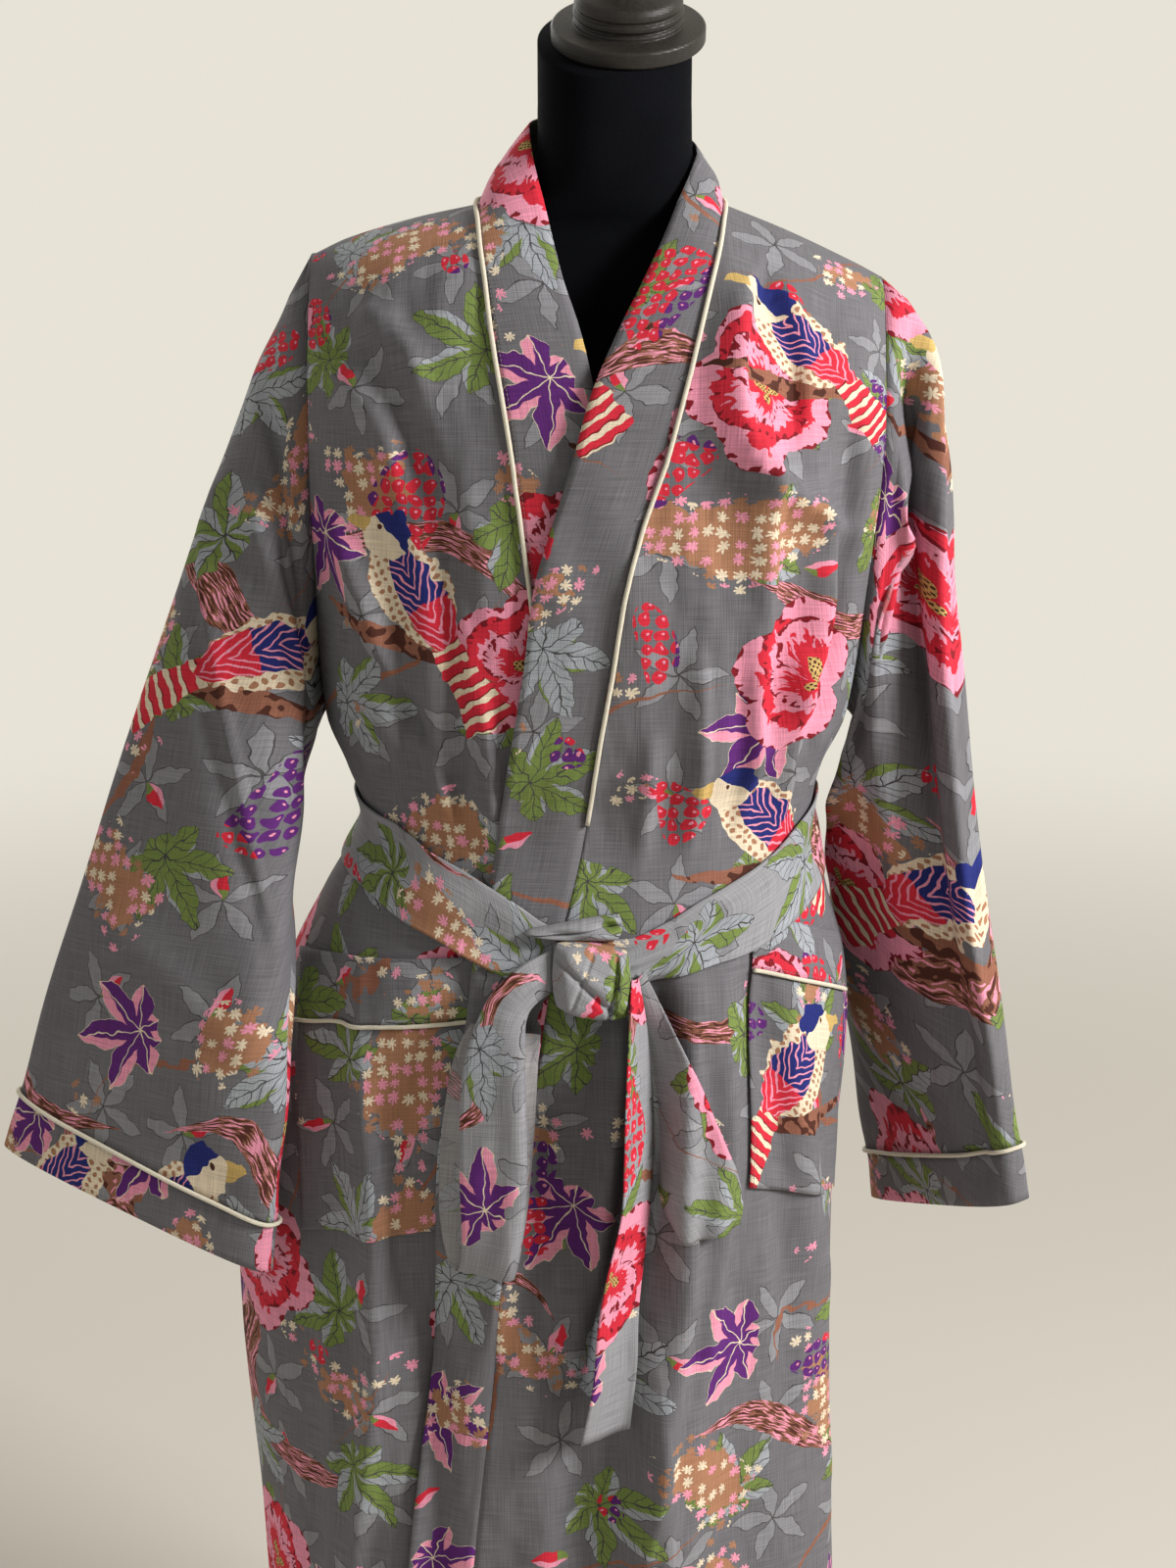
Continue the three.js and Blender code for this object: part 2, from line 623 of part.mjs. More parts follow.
// The band goes on from the shoulder seam round the back of the neck, to centre back.
function napeRows(side) {
  const seamPoint = (angle) => [
    side * NECK_X * Math.cos(angle),
    SHOULDER_Y + NECKLINE_DEPTH * Math.sin(angle),
    SHOULDER_Z + NAPE_RISE * Math.sin(angle) + NAPE_LIFT,
  ];
  return NAPE.map((station) => {
    const angle = radians(station.angle);
    const onX = side > 0 ? [station.rightX, station.rightZ] : [station.leftX, station.leftZ];
    const edge = [onX[0], station.y, onX[1]];
    const seam = seamPoint(angle);
    if (station.angle === 90) {
      edge[0] = side * SEAM / 2;
      seam[0] = side * SEAM / 2;
    }
    const row = [seam];
    for (let j = 1; j <= BAND_COLUMNS; j += 1) {
      const t = j / BAND_COLUMNS;
      const away = unit([seam[0], seam[1], 20]);
      row.push(add(mixPoints(seam, edge, t), away, 4 * Math.sin(Math.PI * t)));
    }
    return row;
  });
}

function makeFront(side, top) {
  const name = top ? 'left' : 'right';
  const outer = frontSkin(side, top);
  const inner = shiftGrid(outer, side * CLOTH);
  fixEdges(outer, inner, [0, PANEL_COLUMNS], 1, [1, 0], 0);
  const panel = (grid) => (
    trimColumn(columnsOf(grid, 0, PANEL_COLUMNS), PANEL_COLUMNS, PANEL_COLUMNS - 1, SEAM / 2)
  );
  place(`front_${name}`, closedBody(panel(outer), panel(inner)), COLOUR.cloth);
  const lastColumn = PANEL_COLUMNS + BAND_COLUMNS;
  const bandOuter = trimColumn(columnsOf(outer, PANEL_COLUMNS, lastColumn), 0, 1, SEAM / 2);
  const nape = napeRows(side);
  const bandGrid = bandOuter.concat(nape);
  bandGrid[bandOuter.length - 1][0][2] += NAPE_LIFT / 2;
  const bandInner = shiftGrid(bandGrid, side * CLOTH);
  const frontInner = trimColumn(columnsOf(inner, PANEL_COLUMNS, lastColumn), 0, 1, SEAM / 2);
  for (let i = 0; i < bandOuter.length - 1; i += 1) bandInner[i] = frontInner[i];
  const centre = bandGrid.length - 1;
  bandInner[centre].forEach((point) => { point[0] = side * SEAM / 2; });
  place(`neck_band_${name}`, closedBody(bandGrid, bandInner), COLOUR.band);
  makeBandPiping(name, side, outer, bandGrid);
  return { outer, inner };
}

function makeBandPiping(name, side, outer, bandGrid) {
  const normals = gridNormals(outer, false);
  const napeNormals = gridNormals(bandGrid, false);
  const points = [];
  const outward = [];
  outer.forEach((row, i) => {
    if (row[PANEL_COLUMNS][2] < (side > 0 ? PIPING_END_Z : PIPING_UNDER_END_Z)) return;
    if (!(i < outer.length - 1)) return;
    points.push(row[PANEL_COLUMNS]);
    outward.push(normals[i][PANEL_COLUMNS].map((v) => -v * side));
  });
  for (let i = outer.length - 1; i < bandGrid.length; i += 1) {
    points.push(bandGrid[i][0]);
    const normal = napeNormals[i][0].map((v) => -v * side);
    outward.push(unit([normal[0], normal[1], Math.max(normal[2], 0.5)]));
  }
  points[points.length - 1] = points[points.length - 1].slice();
  points[points.length - 1][0] = side * SEAM;
  place(`piping_band_${name}`, cordBody(points, outward, PIPING_RADIUS), COLOUR.piping, 0.6);
}

function makeBack() {
  const outer = bodyRows((z, rise) => {
    const s = section(1, z);
    const neckLeft = angleAt(s, -NECK_X);
    const neckRight = angleAt(s, NECK_X);
    const row = [];
    const put = (angle) => row.push(bodyPoint(s, angle, z, rise, 0));
    evenAngles(s, Math.PI - s.start, neckLeft, BACK_SIDE_COLUMNS).slice(0, -1).forEach(put);
    evenAngles(s, neckLeft, neckRight, BACK_NECK_COLUMNS).slice(0, -1).forEach(put);
    evenAngles(s, neckRight, s.start, BACK_SIDE_COLUMNS).forEach(put);
    const ends = [row[0], row[row.length - 1]];
    if (rise === 0 && z <= ARMPIT_Z) ends.forEach((point) => { point[1] = SEAM / 2; });
    return row;
  });
  const last = outer.length - 1;
  const columns = outer[0].length - 1;
  outer[last].forEach((point) => { point[1] = Math.max(point[1], SHOULDER_Y + SEAM / 2); });
  const inner = shiftGrid(outer, CLOTH);
  fixEdges(outer, inner, [0, BACK_SIDE_COLUMNS], 1, [1, 0], 0);
  fixEdges(outer, inner, [columns - BACK_SIDE_COLUMNS, columns], 1, [1, 0], columns);
  place('robe_back', closedBody(outer, inner), COLOUR.cloth);
  return { outer, inner };
}

// A sleeve: its first ring is the armhole's edge, and the others come from the sleeve's table.
function armholeRing(side, front, back, grid) {
  const first = LEVELS.indexOf(ARMPIT_Z);
  const frontEdge = front[grid].slice(first).map((row) => row[0]);
  const backColumn = side < 0 ? 0 : back[grid][0].length - 1;
  const backEdge = back[grid].slice(first).map((row) => row[backColumn]);
  const ring = frontEdge.concat(backEdge.slice(1, -1).reverse());
  return ring.map((point) => add(point, [side * SEAM, 0, 0]));
}

function sleeveRings(side, rows, front, back) {
  const armhole = armholeRing(side, front, back, 'outer');
  const count = armhole.length;
  const half = LEVELS.length - LEVELS.indexOf(ARMPIT_Z) + SHOULDER_ANGLES.length - 1;
  const rings = [armhole];
  const lowZ = armhole[0][2];
  const highZ = armhole[half][2];
  rows.forEach((row, i) => {
    const top = [row.topX, row.topY, row.topZ];
    const low = [row.lowX, row.lowY, row.lowZ];
    const before = rows[Math.max(i - 1, 0)];
    const after = rows[Math.min(i + 1, rows.length - 1)];
    const along = [
      (after.topX + after.lowX - before.topX - before.lowX) / 2,
      (after.topY + after.lowY - before.topY - before.lowY) / 2,
      (after.topZ + after.lowZ - before.topZ - before.lowZ) / 2,
    ];
    const across = add(top, low, -1).map((v) => v / 2);
    let deep = unit(cross(along, across));
    if (deep[1] > 0) deep = deep.map((v) => -v);
    if (side > 0 && deep[0] > 0 && i > 5) deep = deep.map((v) => -v);
    deep = unit(mixPoints([0, -1, 0], deep, smoothstep(-1, 4, i)));
    const centre = mixPoints(top, low, 0.5);
    const ring = armhole.map((_, j) => {
      const even = j <= half ? 1 - j / half : (j - half) / (count - half);
      const level = clamp((armhole[j][2] - lowZ) / (highZ - lowZ), 0, 1) * 2 - 1;
      const matched = Math.acos(Math.sign(level) * Math.abs(level) ** (row.round / 2)) / Math.PI;
      const turn = Math.PI * mix(matched, even, smoothstep(0, 5, i));
      const c = Math.cos(turn);
      const s = Math.sin(turn) * (j <= half ? 1 : -1);
      const u = Math.sign(c) * Math.abs(c) ** (2 / row.round);
      const v = Math.sign(s) * Math.abs(s) ** (2 / row.round);
      return add(add(centre, across, u), deep, v * row.deep);
    });
    rings.push(ring);
  });
  return rings;
}

function makeSleeve(side, name, rows, front, back) {
  const rings = sleeveRings(side, rows, front, back);
  const cuffRow = rings.length - 2;
  const inner = shiftGrid(rings, side * CLOTH, true);
  inner[0] = armholeRing(side, front, back, 'inner');
  const towards = (grid, i, k, amount) => grid[i].map((point, j) => (
    add(point, unit(add(grid[k][j], point, -1)), amount)
  ));
  const sleeveOuter = rings.slice(0, cuffRow).concat([towards(rings, cuffRow, cuffRow - 1, SEAM / 2)]);
  const sleeveInner = inner.slice(0, cuffRow).concat([towards(inner, cuffRow, cuffRow - 1, SEAM / 2)]);
  place(`sleeve_${name}`, closedBody(sleeveOuter, sleeveInner, true), COLOUR.cloth);
  const cuffOuter = [towards(rings, cuffRow, cuffRow + 1, SEAM / 2), rings[cuffRow + 1]];
  const cuffInner = [towards(inner, cuffRow, cuffRow + 1, SEAM / 2), inner[cuffRow + 1]];
  place(`cuff_${name}`, closedBody(cuffOuter, cuffInner, true), COLOUR.cuff);
  const normals = gridNormals(rings, true)[cuffRow].map((normal) => normal.map((v) => -v * side));
  place(`piping_cuff_${name}`, cordBody(rings[cuffRow], normals, PIPING_RADIUS, true), COLOUR.piping, 0.6);
}

// A patch pocket lies on its front panel, with a band along its mouth.
function makePocket(side, name, size, onTop) {
  const at = (across, drop, lift) => {
    const x = side * mix(size.inX, size.outX, across);
    const zTop = mix(size.topIn, size.topOut, across);
    const zLow = mix(size.lowIn, size.lowOut, across);
    const z = mix(zTop, zLow, drop);
    const s = section(-1, z);
    const startAngle = angleAt(s, side * size.inX);
    const endAngle = angleAt(s, side * Math.min(size.outX, (side < 0 ? s.left : s.right) * 0.975));
    const angle = mix(startAngle, endAngle, across);
    const layer = onTop ? layerAt(x, z) : 0;
    return bodyPoint(s, angle, z, 0, layer + lift);
  };
  const columns = 10;
  const height = size.topIn - size.lowIn;
  const split = size.bandHeight / height;
  const gap = SEAM / height;
  const grid = (from, to, rows, lift) => Array.from({ length: rows + 1 }, (_, i) => (
    Array.from({ length: columns + 1 }, (__, j) => at(j / columns, mix(from, to, i / rows), lift))
  ));
  const outside = POCKET_CLEAR + POCKET_WALL;
  const pieces = [
    [`pocket_${name}`, split + gap, 1, 6, COLOUR.pocket],
    [`pocket_band_${name}`, 0, split, 2, COLOUR.cuff],
  ];
  for (const [piece, from, to, rows, colour] of pieces) {
    place(piece, closedBody(grid(from, to, rows, outside), grid(from, to, rows, POCKET_CLEAR)), colour);
  }
  const seam = Array.from({ length: columns + 1 }, (_, j) => at(j / columns, split, outside));
  const out = seam.map((point, j) => unit(add(at(j / columns, split, outside + PIPING_RADIUS), point, -1)));
  place(`piping_pocket_${name}`, cordBody(seam, out, PIPING_RADIUS - 0.1), COLOUR.piping, 0.6);
}

// The belt lies round the waist over every layer.
function beltPoint(angle, level, lift) {
  const face = angle <= Math.PI ? -1 : 1;
  const s = section(face, level);
  const turn = face < 0 ? angle : 2 * Math.PI - angle;
  const x = sectionPoint(s, turn).point[0];
  const layer = face < 0 ? layerAt(x, level) * smoothstep(-165, -98, x) : 0;
  const overPocket = face < 0 ? BELT_OVER_POCKET * smoothstep(945, 922, level) * smoothstep(80, 104, x) : 0;
  return bodyPoint(s, turn, level, 0, layer + overPocket + lift);
}

function makeBelt() {
  const columns = 44;
  const rows = 3;
  const grid = (lift) => Array.from({ length: rows + 1 }, (_, i) => (
    Array.from({ length: columns }, (__, j) => {
      const degrees = j / columns * 360;
      const low = sample(BELT, 'angle', 'low', degrees);
      const top = sample(BELT, 'angle', 'top', degrees);
      return beltPoint(radians(degrees), mix(low, top, i / rows), lift);
    })
  ));
  place('belt_waist', closedBody(grid(BELT_CLEAR + BELT_WALL), grid(BELT_CLEAR), true), COLOUR.belt);
}

function beltFrontY(x, z) {
  const s = section(-1, z);
  const at = sectionPoint(s, angleAt(s, x));
  return at.point[1] - layerDepth(z) - BELT_CLEAR - BELT_WALL - SEAM;
}

// A soft lump of tied belt: a rounded front over a back that follows the belt.
function makeLump(name, size, crease) {
  const rows = 8;
  const columns = 10;
  const grid = (front) => Array.from({ length: rows + 1 }, (_, i) => (
    Array.from({ length: columns + 1 }, (__, j) => {
      const v = mix(-1, 1, i / rows);
      const u = mix(-1, 1, j / columns);
      const squeeze = 1 - 0.16 * u * u;
      const x = mix(size.x1, size.x2, (u * (1 - 0.1 * v * v) + 1) / 2);
      const z = mix(size.z1, size.z2, (v * squeeze + 1) / 2);
      const back = beltFrontY(x, z) - 0.5;
      if (!front) return [x, back, z];
      const away = (1 - Math.abs(u) ** size.round) * (1 - Math.abs(v) ** size.round);
      const rounded = away ** (1 / size.round);
      return [x, back - size.edge - (size.depth - size.edge) * rounded - crease(u, v) * rounded, z];
    })
  ));
  place(name, closedBody(grid(true), grid(false)), COLOUR.belt);
}

// A strip of belt cloth between two edges that stand off the robe's front.
function makeStrip(name, rows, columns, curl) {
  const grid = (lift) => rows.map((row) => Array.from({ length: columns + 1 }, (_, j) => {
    const t = j / columns;
    const x = mix(row.x1, row.x2, t);
    const z = mix(row.z1, row.z2, t);
    const out = mix(row.out1, row.out2, t) + curl * Math.sin(Math.PI * t);
    return [x, frontY(x, z) - out - lift, z];
  }));
  const middle = grid(0);
  const faces = [STRIP_WALL / 2, -STRIP_WALL / 2].map((distance) => shiftGrid(middle, distance));
  place(name, closedBody(faces[0], faces[1]), COLOUR.belt);
}

// The dress form's velvet torso with its neck, cut level with the tilted cap.
function formRing(row, sides) {
  return Array.from({ length: sides }, (_, j) => {
    const angle = j / sides * 2 * Math.PI;
    const c = Math.cos(angle);
    const s = Math.sin(angle);
    const width = c < 0 ? row.left : row.right;
    const depth = s < 0 ? row.front : row.back;
    const x = width * Math.sign(c) * Math.abs(c) ** (2 / row.round);
    const y = depth * Math.sign(s) * Math.abs(s) ** (2 / row.round);
    return [x, y, row.z];
  });
}

function capFrame() {
  const lean = radians(CAP_TILT);
  const axis = [0, -Math.sin(lean), Math.cos(lean)];
  const side = [1, 0, 0];
  return { axis, side, front: cross(axis, side) };
}

function capPlaneZ(y, below) {
  const { axis } = capFrame();
  return CAP_CENTRE[2] - (axis[1] * (y - CAP_CENTRE[1]) + below) / axis[2];
}

function makeForm() {
  const sides = 28;
  const rings = FORM.map((row) => formRing(row, sides));
  const neck = rings[rings.length - 1];
  rings.push(neck.map(([x, y]) => [x, y, capPlaneZ(y, SEAM)]));
  place('form_torso', loft(rings), COLOUR.velvet, 0.95);
}

// The turned neck cap with its finial, on the tilted top of the neck.
function makeCap() {
  const profile = table(['radius', 'height'], [
    [CAP_RADIUS - 3, 0], [CAP_RADIUS, 2], [CAP_RADIUS, 8], [CAP_RADIUS - 4, 12.5], [44, 14],
    [42, 17], [42, 25], [38, 30], [28, 33], [22, 40], [20, 50], [24, 60], [27, 70],
    [25, 80], [17, 90], [7, 96],
  ]);
  const { axis, side, front } = capFrame();
  const sides = 26;
  const rings = profile.map((row) => Array.from({ length: sides }, (_, j) => {
    const angle = j / sides * 2 * Math.PI;
    const rim = add(side.map((v) => v * Math.cos(angle)), front, Math.sin(angle));
    return add(add(CAP_CENTRE, axis, row.height), rim, row.radius);
  }));
  place('neck_cap', loft(rings), COLOUR.wood, 0.35);
}

// The stand: a turned base with a collar, and a pole up into the torso.
function makeStand() {
  const baseProfile = [
    [0, 0], [BASE_RADIUS - 4, 0], [BASE_RADIUS, 4], [BASE_RADIUS, 13], [BASE_RADIUS - 10, 19],
    [110, BASE_HEIGHT], [48, 30], [34, 36], [30, 52], [22, COLLAR_TOP_Z], [0, COLLAR_TOP_Z],
  ];
  const poleTop = TORSO_Z - SEAM;
  const points = baseProfile.map(([radius, z]) => new THREE.Vector2(radius, z));
  const base = new THREE.LatheGeometry(points, 36);
  base.rotateX(Math.PI / 2);
  place('stand_base', base, COLOUR.wood, 0.35);
  const pole = new THREE.CylinderGeometry(POLE_RADIUS, POLE_RADIUS, poleTop - COLLAR_TOP_Z - SEAM, 28);
  pole.rotateX(Math.PI / 2);
  pole.translate(0, 0, (poleTop + COLLAR_TOP_Z + SEAM) / 2);
  place('stand_pole', pole, COLOUR.wood, 0.35);
}

function build() {
  const left = makeFront(1, true);
  const right = makeFront(-1, false);
  const back = makeBack();
  makeSleeve(-1, 'right', SLEEVE_RIGHT, right, back);
  makeSleeve(1, 'left', SLEEVE_LEFT, left, back);
  makePocket(-1, 'right', POCKET_RIGHT, false);
  makePocket(1, 'left', POCKET_LEFT, true);
  makeBelt();
  makeLump('belt_knot', KNOT, (u, v) => 2.5 * Math.sin(3 * (u + v)));
  makeLump('belt_fold', EAR, () => 0);
  makeStrip('belt_loop', LOOP, 4, 2);
  makeStrip('belt_tail_long', TAIL_LONG, 4, 2);
  makeStrip('belt_tail_short', TAIL_SHORT, 4, 3);
  makeForm();
  makeCap();
  makeStand();
}

build();

export default model;
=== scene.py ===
import math

import bpy
import numpy as np
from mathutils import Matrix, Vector


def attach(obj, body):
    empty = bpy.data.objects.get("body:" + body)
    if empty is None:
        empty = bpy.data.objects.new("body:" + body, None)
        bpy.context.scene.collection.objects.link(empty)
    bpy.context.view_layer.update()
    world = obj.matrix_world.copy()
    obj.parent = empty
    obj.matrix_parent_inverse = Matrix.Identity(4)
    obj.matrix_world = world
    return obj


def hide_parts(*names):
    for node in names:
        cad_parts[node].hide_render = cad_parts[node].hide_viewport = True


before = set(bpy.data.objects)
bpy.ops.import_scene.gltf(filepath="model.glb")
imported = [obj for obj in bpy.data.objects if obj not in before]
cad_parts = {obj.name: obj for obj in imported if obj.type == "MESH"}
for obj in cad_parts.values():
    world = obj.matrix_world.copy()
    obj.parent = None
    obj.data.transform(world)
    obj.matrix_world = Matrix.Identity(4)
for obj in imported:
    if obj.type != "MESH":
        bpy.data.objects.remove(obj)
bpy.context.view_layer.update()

# Sizes in millimetres, the same as in the solids
SEAM = 0.3
HEM_Z = 190
CHEST_Z = 1250
ARMPIT_Z = 1050
SHOULDER_Y = 6
SHOULDER_Z = 1421
SHOULDER_CURL = 0.87
NAPE_CURL = 1.3
NAPE_LIFT = 1.2
NAPE_RISE = 5
NECK_X = 88
ARMHOLE_HALF = 52
NECKLINE_DEPTH = 62
PIPING_RADIUS = 1.7
PIPING_END_Z = 985
PIPING_UNDER_END_Z = 1040
LAYER = 8.6
LAYER_WAIST = 4.2
POCKET_CLEAR = 1.9
POCKET_WALL = 1.1
BELT_CLEAR = 2.2
BELT_WALL = 1.5
BELT_OVER_POCKET = 3
STRIP_WALL = 1.2
BASE_RADIUS = 175
BASE_HEIGHT = 26
COLLAR_TOP_Z = 58
TORSO_Z = 722
POLE_RADIUS = 15.5
CAP_TILT = 25
CAP_CENTRE = (19.5, 0, 1534)
CAP_RADIUS = 55

# Sizes of this model alone
SHEET = 0.9              # visible thickness of one layer of cloth
EDGE_CALM = 22           # width beside a side seam over which the creases fade in
KNOT_TURN = 86           # the knot's place round the belt, in degrees
POCKET_REACH = 0.975     # how far round to the side seam a pocket may go, of the half width
MOUTH_STITCHES = 3.2     # from the pocket's piping up to the stitches over it
STITCH = {"length": 2.4, "pitch": 3.4, "radius": 0.26}


def table(columns, rows):
    """Rows of numbers by their columns' names, each with its own place i in the table."""
    return [dict(zip(columns.split(), row), i=i) for i, row in enumerate(rows)]


# Sections of the robe's body, each with its own extent to each side
BODY = table("z left right front back round", [
    (190, 270, 200, 172, 154, 2.2),
    (400, 276, 190, 169, 149, 2.2),
    (560, 287, 185, 163, 144, 2.2),
    (690, 284, 185, 157, 140, 2.2),
    (800, 258, 193, 147, 134, 2.2),
    (860, 238, 189, 137, 126, 2.2),
    (910, 212, 175, 127, 116, 2.3),
    (970, 181, 162, 117, 105, 2.3),
    (1010, 192, 168, 120, 108, 2.3),
    (1050, 207, 186, 125, 112, 2.3),
    (1150, 209, 196, 134, 116, 2.3),
    (1250, 209, 204, 133, 114, 2.3),
])
SHOULDER = table("x left right", [
    (88, 1421, 1421),
    (135, 1411, 1402.5),
    (183, 1397, 1380.5),
    (207, 1386, 1368),
])
BAND = table("z topSeam topFree underSeam underFree", [
    (190, -112, -160, 62, 112),
    (419, -94, -142, 44, 96),
    (562, -79, -128, 32, 86),
    (655, -70, -120, 22, 78),
    (754, -55, -116, 8, 66),
    (835, -42, -98, -4, 54),
    (893, -32, -90, -14, 46),
    (966, -14, -75, -28, 34),
    (1049, -1, -62, -38, 25),
    (1100, 8, -54, -44, 20),
    (1164, 18, -46, -50, 13),
    (1205, 28, -34, -55, 9),
    (1250, 44, -20, -61, 3),
])
COLLAR = table("z topSeam topX topY topZ underSeam underX underY underZ", [
    (1250, 44, -20, -134, 1250, -61, 3, -134, 1250),
    (1294, 56, -7, -128, 1297, -68, -4, -128, 1296),
    (1335, 67, 11, -114, 1338, -75, -14, -114, 1338),
    (1371, 77, 27, -98, 1368, -80, -26, -94, 1372),
    (1395, 83, 43, -73, 1399, -84, -34, -71, 1401),
    (1411, 86, 55, -47, 1426, -86, -41, -47, 1428),
    (1418, 87.5, 63, -31, 1442, -87.5, -48, -31, 1453),
    (1421, 88, 69, -12, 1456, -88, -51, -12, 1471),
])
NAPE = table("angle rightX rightZ leftX leftZ y", [
    (0, 69, 1456, -51, 1471, -12),
    (22, 68, 1464, -51, 1478, 16),
    (45, 55, 1471, -40, 1482, 41),
    (68, 31, 1476, -22, 1482, 58),
    (90, 0, 1480, 0, 1480, 65),
])
FOLDS = table("face topX topZ lowX lowZ width depth", [
    (-1, 74, 900, 34, 190, 24, 9),
    (-1, 40, 900, -12, 190, 20, -8),
    (-1, 112, 900, 96, 190, 20, -7),
    (-1, 140, 900, 146, 190, 22, 7),
    (-1, -148, 900, -176, 190, 24, 7),
    (-1, -196, 900, -226, 190, 20, -6),
    (-1, 88, 1180, 84, 960, 20, 6),
    (-1, 130, 1190, 122, 960, 18, -6),
    (-1, -108, 1180, -110, 960, 20, 5),
    (-1, -150, 1160, -142, 960, 18, -5),
    (1, 120, 940, 132, 190, 22, 7),
    (1, 74, 940, 84, 190, 20, -7),
    (1, 24, 940, 30, 190, 24, 8),
    (1, -28, 940, -30, 190, 22, -8),
    (1, -84, 940, -110, 190, 24, 8),
    (1, -136, 940, -172, 190, 22, -7),
    (1, 62, 1180, 56, 980, 20, 6),
    (1, 10, 1160, 8, 980, 18, -5),
    (1, -66, 1180, -60, 980, 20, 6),
])
BELT = table("angle top low", [
    (0, 990, 941),
    (23, 979, 925),
    (53, 950, 897),
    (68, 934, 888),
    (78, 918, 880),
    (86, 908, 874),
    (97, 916, 873),
    (104, 931, 880),
    (111, 943, 890),
    (119, 954, 902),
    (129, 964, 912),
    (143, 978, 926),
    (163, 986, 936),
    (180, 990, 940),
    (270, 997, 948),
    (360, 990, 941),
])
SLEEVE_COLUMNS = "topX topY topZ lowX lowY lowZ deep round"
SLEEVE_RIGHT = table(SLEEVE_COLUMNS, [
    (-226, 2, 1357, -214, -6, 1034, 51, 2.1),
    (-246, 0, 1315, -221, -20, 1006, 50, 2.1),
    (-262, -3, 1281, -225, -36, 976, 47, 2.2),
    (-284, -6, 1224, -228, -60, 930, 41, 2.3),
    (-307, -9, 1162, -229, -82, 886, 36, 2.4),
    (-349, -15, 1044, -231, -105, 818, 29, 2.6),
    (-388, -20, 934, -235, -115, 764, 24, 2.8),
    (-424, -25, 827, -240, -121, 714, 20, 3.0),
    (-449, -28, 751, -244, -124, 682, 18, 3.1),
    (-463, -30, 708, -247, -126, 644, 18, 3.1),
])
SLEEVE_LEFT = table(SLEEVE_COLUMNS, [
    (224, 4, 1353, 195, 5, 1038, 49, 2.1),
    (239, -4, 1325, 196, 13, 1018, 45, 2.1),
    (248, -16, 1284, 193, 26, 988, 41, 2.2),
    (253, -26, 1220, 189, 42, 950, 38, 2.3),
    (257, -36, 1140, 188, 57, 908, 35, 2.4),
    (265, -46, 1050, 196, 72, 860, 32, 2.6),
    (284, -57, 906, 210, 88, 776, 26, 2.8),
    (304, -68, 795, 222, 97, 704, 22, 3.0),
    (315, -76, 722, 231, 102, 650, 20, 3.1),
    (323, -80, 680, 237, 106, 606, 20, 3.1),
])
POCKET_RIGHT = {"inX": 74, "outX": 226, "topIn": 893, "topOut": 872, "lowIn": 694, "lowOut": 668, "band": 46}
POCKET_LEFT = {"inX": 108, "outX": 181, "topIn": 921, "topOut": 884, "lowIn": 716, "lowOut": 676, "band": 41}
STRIP_COLUMNS = "x1 z1 out1 x2 z2 out2"
LOOP = table(STRIP_COLUMNS, [
    (-34.5, 903, 9.4, -34.5, 875, 9.4),
    (-58, 893, 17, -46, 868, 16),
    (-79, 873, 20, -52, 860, 18),
    (-92, 845, 22, -54, 848, 20),
    (-99, 815, 23, -54, 820, 22),
    (-101, 775, 24, -53, 778, 23),
    (-101, 735, 24, -53, 738, 23),
    (-100, 700, 22, -56, 700, 21),
    (-101, 679, 19, -60, 677, 19),
    (-105, 668, 14, -63, 666, 14),
    (-112, 676, 8, -60, 677, 8),
    (-117, 705, 5, -54, 706, 5),
    (-117, 745, 4, -50, 746, 4),
    (-113, 785, 4, -47, 786, 4),
    (-106, 822, 4, -45, 820, 4),
    (-94, 848, 4, -43, 842, 4),
])
TAIL_LONG = table(STRIP_COLUMNS, [
    (22, 886, 21, 27, 885, 14),
    (20, 850, 34, 33, 848, 11),
    (18, 806, 42, 37, 805, 11),
    (17, 760, 44, 38, 760, 11),
    (15, 720, 42, 36, 718, 10),
    (5, 676, 38, 32, 678, 9),
    (-2, 629, 33, 28, 634, 8),
    (-5, 587, 30, 27, 590, 7),
    (-14, 540, 28, 22, 541, 7),
])
TAIL_SHORT = table(STRIP_COLUMNS, [
    (22, 878, 4.6, 31, 887, 5.2),
    (26, 850, 4, 49, 853, 12),
    (32, 815, 4, 66, 823, 15),
    (38, 780, 4, 82, 786, 17),
    (41, 745, 4, 97, 747, 18),
    (45, 718, 4, 104, 714, 18),
    (61, 692, 5, 102, 697, 17),
])
LUMP_COLUMNS = "x1 x2 z1 z2 depth edge round tilt point"
KNOT, EAR = table(LUMP_COLUMNS, [
    (-35, 22, 858, 908, 21, 6, 4.5, -3.5, 0),
    (-54, 16, 905, 926, 10, 2, 2.8, 2.5, 0.7),
])
FORM = table("z left right front back round", [
    (722, 146, 146, 92, 104, 2.1),
    (728, 156, 156, 100, 112, 2.1),
    (810, 165, 165, 108, 120, 2.1),
    (880, 154, 154, 102, 110, 2.1),
    (950, 128, 128, 92, 90, 2.1),
    (1005, 115, 115, 88, 84, 2.1),
    (1080, 126, 126, 98, 88, 2.1),
    (1170, 146, 146, 116, 96, 2.1),
    (1250, 156, 156, 106, 100, 2.1),
    (1310, 172, 172, 84, 94, 2.1),
    (1348, 185, 183, 64, 82, 2.1),
    (1370, 186, 176, 54, 74, 2.1),
    (1384, 183, 165, 49, 68, 2.1),
    (1394, 173, 146, 47, 65, 2.1),
    (1402, 150, 126, 46, 63, 2.0),
    (1410, 120, 106, 47, 61, 2.0),
    (1417, 88, 87, 50, 59, 2.0),
    (1428, 60, 74, 53, 57, 2.0),
    (1448, 47, 67, 55, 55, 2.0),
    (1490, 45, 65, 55, 55, 2.0),
])

